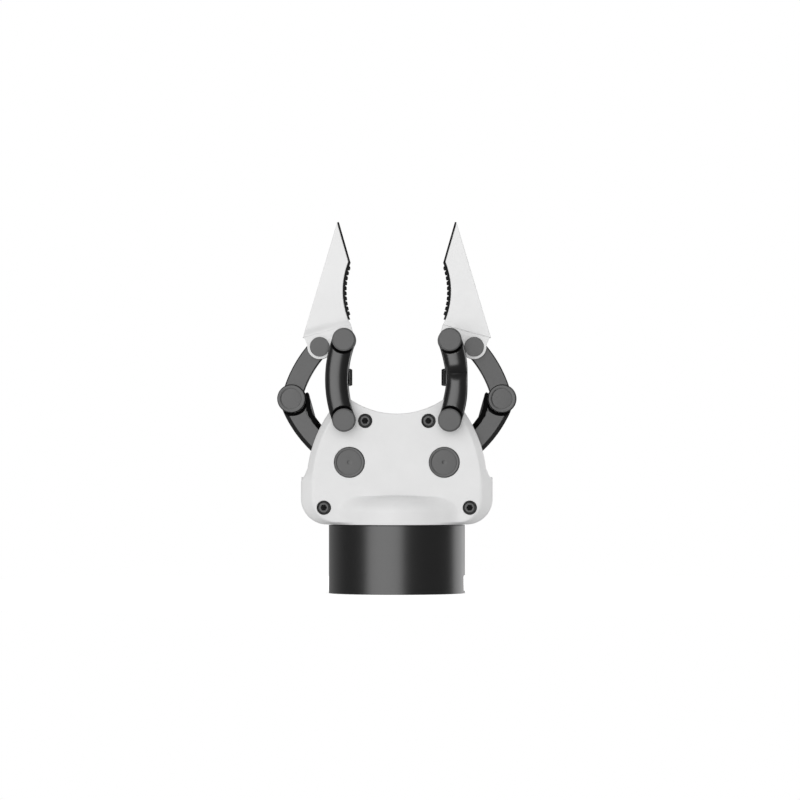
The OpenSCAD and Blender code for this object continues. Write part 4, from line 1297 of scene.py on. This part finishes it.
@dataclass
class Body:
    """The two cover shells, with their bevelled rim, the bulge over the drum and the bores.

    Attributes:
        half: Half width across the cheeks.
        cover: Half width of the cover above the cheeks.
        bottom: Height of its lower edge.
        step: Height of the cheeks' top.
        widest: Height at which the sides are widest.
        side: Radius of the sides.
        corner: Radius of the lower corners.
        saddle: Radius of the hollow on top.
        dip: Height of the hollow's lowest point.
        face: Depth of the flat face.
        parting: Depth of the covers' back.
        bevel: Width of the rim's bevel.
        slope: Depth of the rim's bevel.
        drum: Radius of the drum under it.
        crest: Height of the bulge's crest.
        swell: Height over which the bulge rounds in.
        middle: Height of the point that the face's rings close on.
        blend: Reach of the soft blend at the middle, and what it gains towards the sides.
        blend_side: Where the reach starts to grow, and where it has grown, counted from X = 0.
        plug_bore: Radius of the bores for the plugs.
        pin_bore: Radius of the bores for the link pins.
    """

    half: float = 44.2 * MM
    cover: float = 41.6 * MM
    bottom: float = 32.0 * MM
    step: float = 53.5 * MM
    widest: float = 50.7 * MM
    side: float = 58.0 * MM
    corner: float = 12.0 * MM
    saddle: float = 38.6 * MM
    dip: float = 83.0 * MM
    face: float = 20.4 * MM
    parting: float = 9.5 * MM
    bevel: float = 2.8 * MM
    slope: float = 4.6 * MM
    drum: float = 31.5 * MM
    crest: float = 45.2 * MM
    swell: float = 8.0 * MM
    middle: float = 60.0 * MM
    blend: tuple[float, float] = (0.9 * MM, 7.0 * MM)
    blend_side: tuple[float, float] = (6 * MM, 22 * MM)
    plug_bore: float = 7.12 * MM
    pin_bore: float = 3.6 * MM

    def flank(self, rim: float) -> np.ndarray:
        """Right half of the outline, from the bottom's middle to the hollow's lowest point.

        Args:
            rim: 0 for the full outline, 1 for the edge of the flat face.

        Returns:
            Points (x, z), the same number for both.
        """
        half = self.half + rim * (self.cover - self.bevel - self.half)
        low = self.bottom + rim * MM
        radius = self.corner - rim * 1.1 * MM
        angle = np.linspace(0.0, np.pi / 2, 25)
        foot = np.linspace(0.0, half - radius, 46)[:-1]
        corner = np.stack(
            [half - radius + radius * np.sin(angle), low + radius * (1 - np.cos(angle))], -1
        )
        sides = self.side - rim * self.bevel
        centre = np.array([self.cover - self.side, self.widest])
        above = self.step - self.widest
        notch = NOTCH * MM
        if rim:
            x = centre[0] + np.sqrt(sides**2 - (above + notch[:, 1]) ** 2)
        else:
            x = half + notch[:, 0]
        notch = np.stack([x, self.step + notch[:, 1]], -1)
        start = math.asin((above + 4.4 * MM) / self.side)
        top = np.array([0.0, self.dip + self.saddle])
        apart = float(np.linalg.norm(top - centre))
        bend = math.acos((sides**2 + apart**2 - self.saddle**2) / (2 * sides * apart))
        end = math.atan2(*(top - centre)[::-1]) - bend
        turn = np.linspace(start, end, 60)
        flank = centre + sides * np.stack([np.cos(turn), np.sin(turn)], -1)
        horn = flank[-1] - top
        sweep = np.linspace(math.atan2(horn[1], horn[0]), -np.pi / 2, 46)[1:]
        hollow = top + self.saddle * np.stack([np.cos(sweep), np.sin(sweep)], -1)
        base = np.stack([foot, np.full_like(foot, low)], -1)
        return np.concatenate([base, corner, notch, flank, hollow])

    def outline(self, rim: float) -> np.ndarray:
        """The whole outline, closed.

        Args:
            rim: As for flank.

        Returns:
            Points (x, z).
        """
        right = self.flank(rim)
        left = right[-2:0:-1] * np.array([-1, 1])
        return np.concatenate([right, left])

    def bulge(self, x: np.ndarray, z: np.ndarray) -> np.ndarray:
        """Depth of the bulge's surface, sqrt(R^2 - x^2), or 0 outside it.

        R is the drum's radius up to the swell, then behind the face + (drum - that) * cos(a) with
        sin(a) running from 0 to 1 up to the crest.

        Args:
            x: Where it is read.
            z: Height at which it is read.

        Returns:
            Depth, counted forwards.
        """
        back = self.face - 0.6 * MM
        share = np.clip((z - self.crest) / self.swell + 1.0, 0.0, 1.0)
        radius = back + (self.drum - back) * np.sqrt(1.0 - share**2)
        radius = np.where(z > self.crest, 0.0, radius)
        return np.sqrt(np.maximum(radius**2 - x**2, 0.0))

    def surface(self) -> Shell:
        """The cover as rings: up the wall, over the bevel, then in over the face to its middle.

        The depth of each point is the soft maximum of the plate and the bulge, max(a, b) + h^2 k / 4
        with h = max(k - |a - b|, 0) / k. The reach k grows from the middle towards the sides.
        """
        full, rim = self.outline(0.0), self.outline(1.0)
        edge = rounded(
            [
                (0, self.parting, 0),
                (0, self.face - self.slope, 1.0 * MM),
                (self.bevel, self.face, 0.9 * MM),
                (self.bevel + 1.2 * MM, self.face, 0),
            ],
            8,
        )
        rings, depths = [], []
        for inset, depth in edge:
            rings.append(full + (rim - full) * inset / self.bevel)
            depths.append(np.full(len(full), depth))
        middle = np.array([0.0, self.middle])
        last = rings[-1]
        for share in np.linspace(1.0, 0.0, 81)[1:-1]:
            rings.append(middle + (last - middle) * share)
            depths.append(np.full(len(full), self.face))
        flat, plate = np.stack(rings), np.stack(depths)
        bulge = self.bulge(flat[..., 0], flat[..., 1])
        soft = self.blend[0] + self.blend[1] * smooth_step(np.abs(flat[..., 0]), *self.blend_side)
        shared = np.maximum(soft - np.abs(plate - bulge), 0.0) / soft
        depth = np.maximum(plate, bulge) + shared**2 * soft / 4
        depth[0] = self.parting
        return Shell().tube(np.stack([flat[..., 0], -depth, flat[..., 1]], -1))

    def build(self) -> None:
        """Builds both covers and bores them."""
        bores = Shell()
        wide, narrow = 3.3 * MM, 1.6 * MM
        screw = np.array(
            [
                [0.0, BORE_FRONT],
                [wide, BORE_FRONT],
                [wide, COUNTERBORE],
                [narrow, COUNTERBORE],
                [narrow, BORE_BACK],
                [0.0, BORE_BACK],
            ]
        )
        pivots = Pivots.read(Side.RIGHT)
        holes = [(pivots.crank, self.plug_bore), (pivots.link, self.pin_bore)]
        for sign in (1, -1):
            for place in screw_places():
                bores.turned(place * np.array([sign, 1]), screw)
            for place, radius in holes:
                ends = [[0, BORE_FRONT], [radius, BORE_FRONT], [radius, BORE_BACK], [0, BORE_BACK]]
                through = np.array(ends)
                bores.turned(place * np.array([sign, 1]), through)
        cover = self.surface().bored(bores)
        cover.piece("front_cover_shell", WHITE_SHELL, "front_cover")
        cover.points = [p * np.array([1, -1, 1]) for p in cover.points]
        cover.piece("rear_cover_shell", WHITE_SHELL, "rear_cover")


# Radius of the cover screws' heads, and how far the upper ones stand inside the link's pivot
SCREW_HEAD = 3.15 * MM
SCREW_INSET = 9.7 * MM
# Profile of a screw's head, in millimetres behind its face: wall, chamfer, face and socket
SCREW_PROFILE = [
    (3.15, 3.3, 0),
    (3.15, 0.9, 0.25),
    (2.27, 0.0, 0.25),
    (1.5, 0.0, 0.1),
    (1.36, 0.12, 0.05),
    (1.36, 1.7, 0),
]
# Radius of the screw's stem, and depth of the socket's conical floor
STEM = 1.5 * MM
SOCKET_FLOOR = 3.0 * MM
# Radius of the plugs over the crank bearings, depth of their back, and radius of their dimple
PLUG = 6.98 * MM
PLUG_BACK = -16.0 * MM
DIMPLE = 1.1 * MM


def screw_places() -> list[np.ndarray]:
    """Axes (x, z) of the cover screws on the right, upper and lower, from their box and the pivots."""
    low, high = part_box("cover_screws")
    head = SCREW_HEAD
    pivots = Pivots.read(Side.RIGHT)
    upper = np.array([pivots.link[0] - SCREW_INSET, high[2] - head])
    lower = np.array([high[0] - head, low[2] + head])
    return [upper, lower]


class BodyFittings:
    """Cover screws and the plugs over the crank bearings."""

    def screws(self) -> None:
        """Socket screws: a chamfered head whose hexagonal socket goes down to a dark floor.

        The head is a loft of rings round the axis. Their radius is a circle's outside, and a hexagon's,
        cos(30) / cos(b) with b the angle from the middle of a flat, inside the socket.
        """
        face = span("cover_screws", 1)[0]
        angle = np.linspace(0.0, 2 * np.pi, ROUND_POINTS, endpoint=False)
        hexagon = math.cos(math.pi / 6) / np.cos(np.mod(angle, np.pi / 3) - np.pi / 6)
        line = rounded(SCREW_PROFILE) * MM
        line[:, 1] += face
        stem = np.array([[0.0, BORE_BACK], [STEM, BORE_BACK], [STEM, COUNTERBORE]])
        profile = np.concatenate([stem, line, [[0.0, face + SOCKET_FLOOR]]])
        inside = smooth_step(-profile[:, :1], -1.6 * MM, -1.4 * MM) * (profile[:, 1:] > face - MM)
        inside[:3] = 0.0
        radius = profile[:, :1] * (1 + inside * (hexagon - 1))
        shell = Shell()
        for sign in (1, -1):
            for place in screw_places():
                for flip in (1, -1):
                    x = sign * place[0] + radius * np.cos(angle)
                    z = place[1] + radius * np.sin(angle)
                    y = np.broadcast_to(profile[:, 1:] * flip, x.shape)
                    shell.tube(np.stack([x, y, z], -1), capped=False)
        shell.piece("socket_screws", BLACK_SCREW, "cover_screws")

    def plugs(self) -> None:
        """Plugs with a faint ring and a dimple."""
        face = span("shaft_caps", 1)[0]
        profile = disc(PLUG, face, PLUG_BACK, 0.35 * MM, ring=0.82 * PLUG, hole=DIMPLE)
        place = Pivots.read(Side.RIGHT).crank
        plugs = TurnedPair("bearing_plugs", GREY_BAR, profile, "shaft_caps")
        plugs.build([place, place * np.array([-1, 1])])

    def build(self) -> None:
        """Builds the screws and the plugs."""
        self.screws()
        self.plugs()


# ---------------------------------------------------------------- studio


@dataclass(frozen=True)
class Lamp:
    """Square soft light that looks at the object's middle.

    Attributes:
        name: Name of the lamp.
        azimuth: Degrees round Z from the front, towards +X.
        height: Height above the floor.
        distance: Level distance from the object.
        size: Side of the square.
        radiance: Its brightness; the power is 4 * size^2 * radiance.
        aim: Height of the point that it looks at.
    """

    name: str
    azimuth: float
    height: float
    distance: float
    size: float
    radiance: float
    aim: float = 0.08

    def build(self) -> None:
        """Builds the lamp, out of the camera's sight."""
        light = bpy.data.lights.new(self.name, "AREA")
        light.size = self.size
        light.energy = 4 * self.size**2 * self.radiance
        lamp = bpy.data.objects.new(self.name, light)
        angle = math.radians(self.azimuth)
        level = self.distance
        lamp.location = (level * math.sin(angle), -level * math.cos(angle), self.height)
        target = Vector((0.0, 0.0, self.aim))
        lamp.rotation_mode = "QUATERNION"
        lamp.rotation_quaternion = (target - lamp.location).to_track_quat("-Z", "Y")
        lamp.visible_camera = False
        bpy.context.scene.collection.objects.link(lamp)


@dataclass
class Studio:
    """Floor, light and camera.

    Attributes:
        reach: Height of the picture at the object.
        lens: Focal length, in millimetres, long enough for a nearly parallel view.
        aside: How far the camera stands to the right of the middle.
        level: Height of the camera, as a share of the object's height.
        key: Large soft light in front on the left.
        rim: Smaller light behind on the right.
        ambient: Light from all round.
        floor_radius: Radius of the floor.
    """

    reach: float = 368.3 * MM
    lens: float = 300.0
    aside: float = 1.45 * MM
    level: float = 0.521
    key: Lamp = Lamp("key", azimuth=-21.0, height=0.45, distance=3.0, size=3.6, radiance=1.1)
    rim: Lamp = Lamp("rim", azimuth=135.0, height=0.2, distance=1.2, size=1.1, radiance=0.8)
    ambient: float = 0.58
    floor_radius: float = 0.3

    def camera(self) -> None:
        """Camera straight in front, a little right of the middle, as far away as its lens needs."""
        low, high = CAD_BOX
        height = high.z - low.z
        data = bpy.data.cameras.new("camera")
        data.lens = self.lens
        data.sensor_width = 36.0
        distance = self.reach * self.lens / data.sensor_width
        camera = bpy.data.objects.new("camera", data)
        camera.location = (self.aside, -Body.face - distance, self.level * height)
        camera.rotation_euler = (math.pi / 2, 0.0, 0.0)
        data.clip_end = 100.0
        bpy.context.scene.collection.objects.link(camera)
        bpy.context.scene.camera = camera

    def floor(self) -> None:
        """Small round pale floor that takes the object's shadow and fades to the background's white."""
        angle = np.linspace(0.0, 2 * np.pi, 96, endpoint=False)
        ring = np.stack([np.cos(angle), np.sin(angle), np.zeros_like(angle)], -1) * self.floor_radius
        ring[:, 2] = -0.1 * MM
        mesh = bpy.data.meshes.new("floor")
        mesh.from_pydata(ring.tolist(), [], [list(range(len(ring)))])
        floor = bpy.data.objects.new("floor", mesh)
        bpy.context.scene.collection.objects.link(floor)
        floor.visible_shadow = False
        floor.visible_glossy = False
        material = bpy.data.materials.new("floor_white")
        material.use_nodes = True
        graph = Graph(material.node_tree)
        length = {"operation": "LENGTH"}
        away = graph.value("ShaderNodeVectorMath", length, {0: graph.place()}, "Value")
        seen = graph.value("ShaderNodeLightPath", None, None, "Is Camera Ray")
        paint = graph.add("ShaderNodeBsdfDiffuse", None, {"Color": (0.85, 0.85, 0.85, 1.0)})
        glow = seen * (0.62 + 0.4 * away.ramp(0.06, 0.2))
        lift = graph.add("ShaderNodeEmission", None, {"Strength": glow})
        both = graph.add("ShaderNodeAddShader", None, {0: paint.outputs[0], 1: lift.outputs[0]})
        graph.add("ShaderNodeOutputMaterial", None, {"Surface": both.outputs[0]})
        mesh.materials.append(material)

    def world(self) -> None:
        """White behind everything, soft light all round, and a darker front half in reflections."""
        world = bpy.data.worlds.new("world")
        bpy.context.scene.world = world
        world.use_nodes = True
        graph = Graph(world.node_tree)
        path = graph.add("ShaderNodeLightPath")
        through = Value(graph, path.outputs["Is Transmission Ray"])
        seen = Value(graph, path.outputs["Is Camera Ray"]).max(through)
        shiny = Value(graph, path.outputs["Is Glossy Ray"])
        way = graph.add("ShaderNodeTexCoord").outputs["Generated"]
        right = graph.value("ShaderNodeSeparateXYZ", None, {0: way}, "X")
        behind = graph.value("ShaderNodeSeparateXYZ", None, {0: way}, "Y")
        mirror = 0.06 + 0.3 * behind.ramp(0.0, 1.0)
        even = self.ambient * (1.0 + 0.2 * right)
        strength = seen + (1.0 - seen) * (shiny * mirror + (1.0 - shiny) * even)
        background = graph.add("ShaderNodeBackground", None, {"Strength": strength})
        background.inputs["Color"].default_value = (1.0, 1.0, 1.0, 1.0)
        graph.add("ShaderNodeOutputWorld", None, {"Surface": background.outputs[0]})

    def build(self) -> None:
        """Builds the whole studio."""
        self.camera()
        self.floor()
        self.world()
        self.key.build()
        self.rim.build()
        bpy.context.scene.view_settings.view_transform = "Standard"


# The right link's waist and crease, and the left fingertip's drawn-in lower edge
RIGHT_WAIST, RIGHT_DENT = 0.09, 0.5
LEFT_LIP = 1.2 * MM


def main() -> None:
    """Builds the studio, dresses the nodes and makes the smoother pieces."""
    logging.basicConfig(level=logging.INFO, format="%(name)s: %(message)s")
    Studio().build()
    dress_nodes()
    Body().build()
    BodyFittings().build()
    for side in Side:
        pivots = Pivots.read(side)
        right = side is Side.RIGHT
        waist, dent = (RIGHT_WAIST, RIGHT_DENT) if right else (0.0, 0.0)
        FrontLink(side, pivots, waist=waist, dent=dent).build()
        CrankEdge(side, pivots).build()
        Pins(side, pivots).build()
        Finger(side, pivots, lip=0.0 if right else LEFT_LIP).build()


if __name__ == "__main__":
    main()
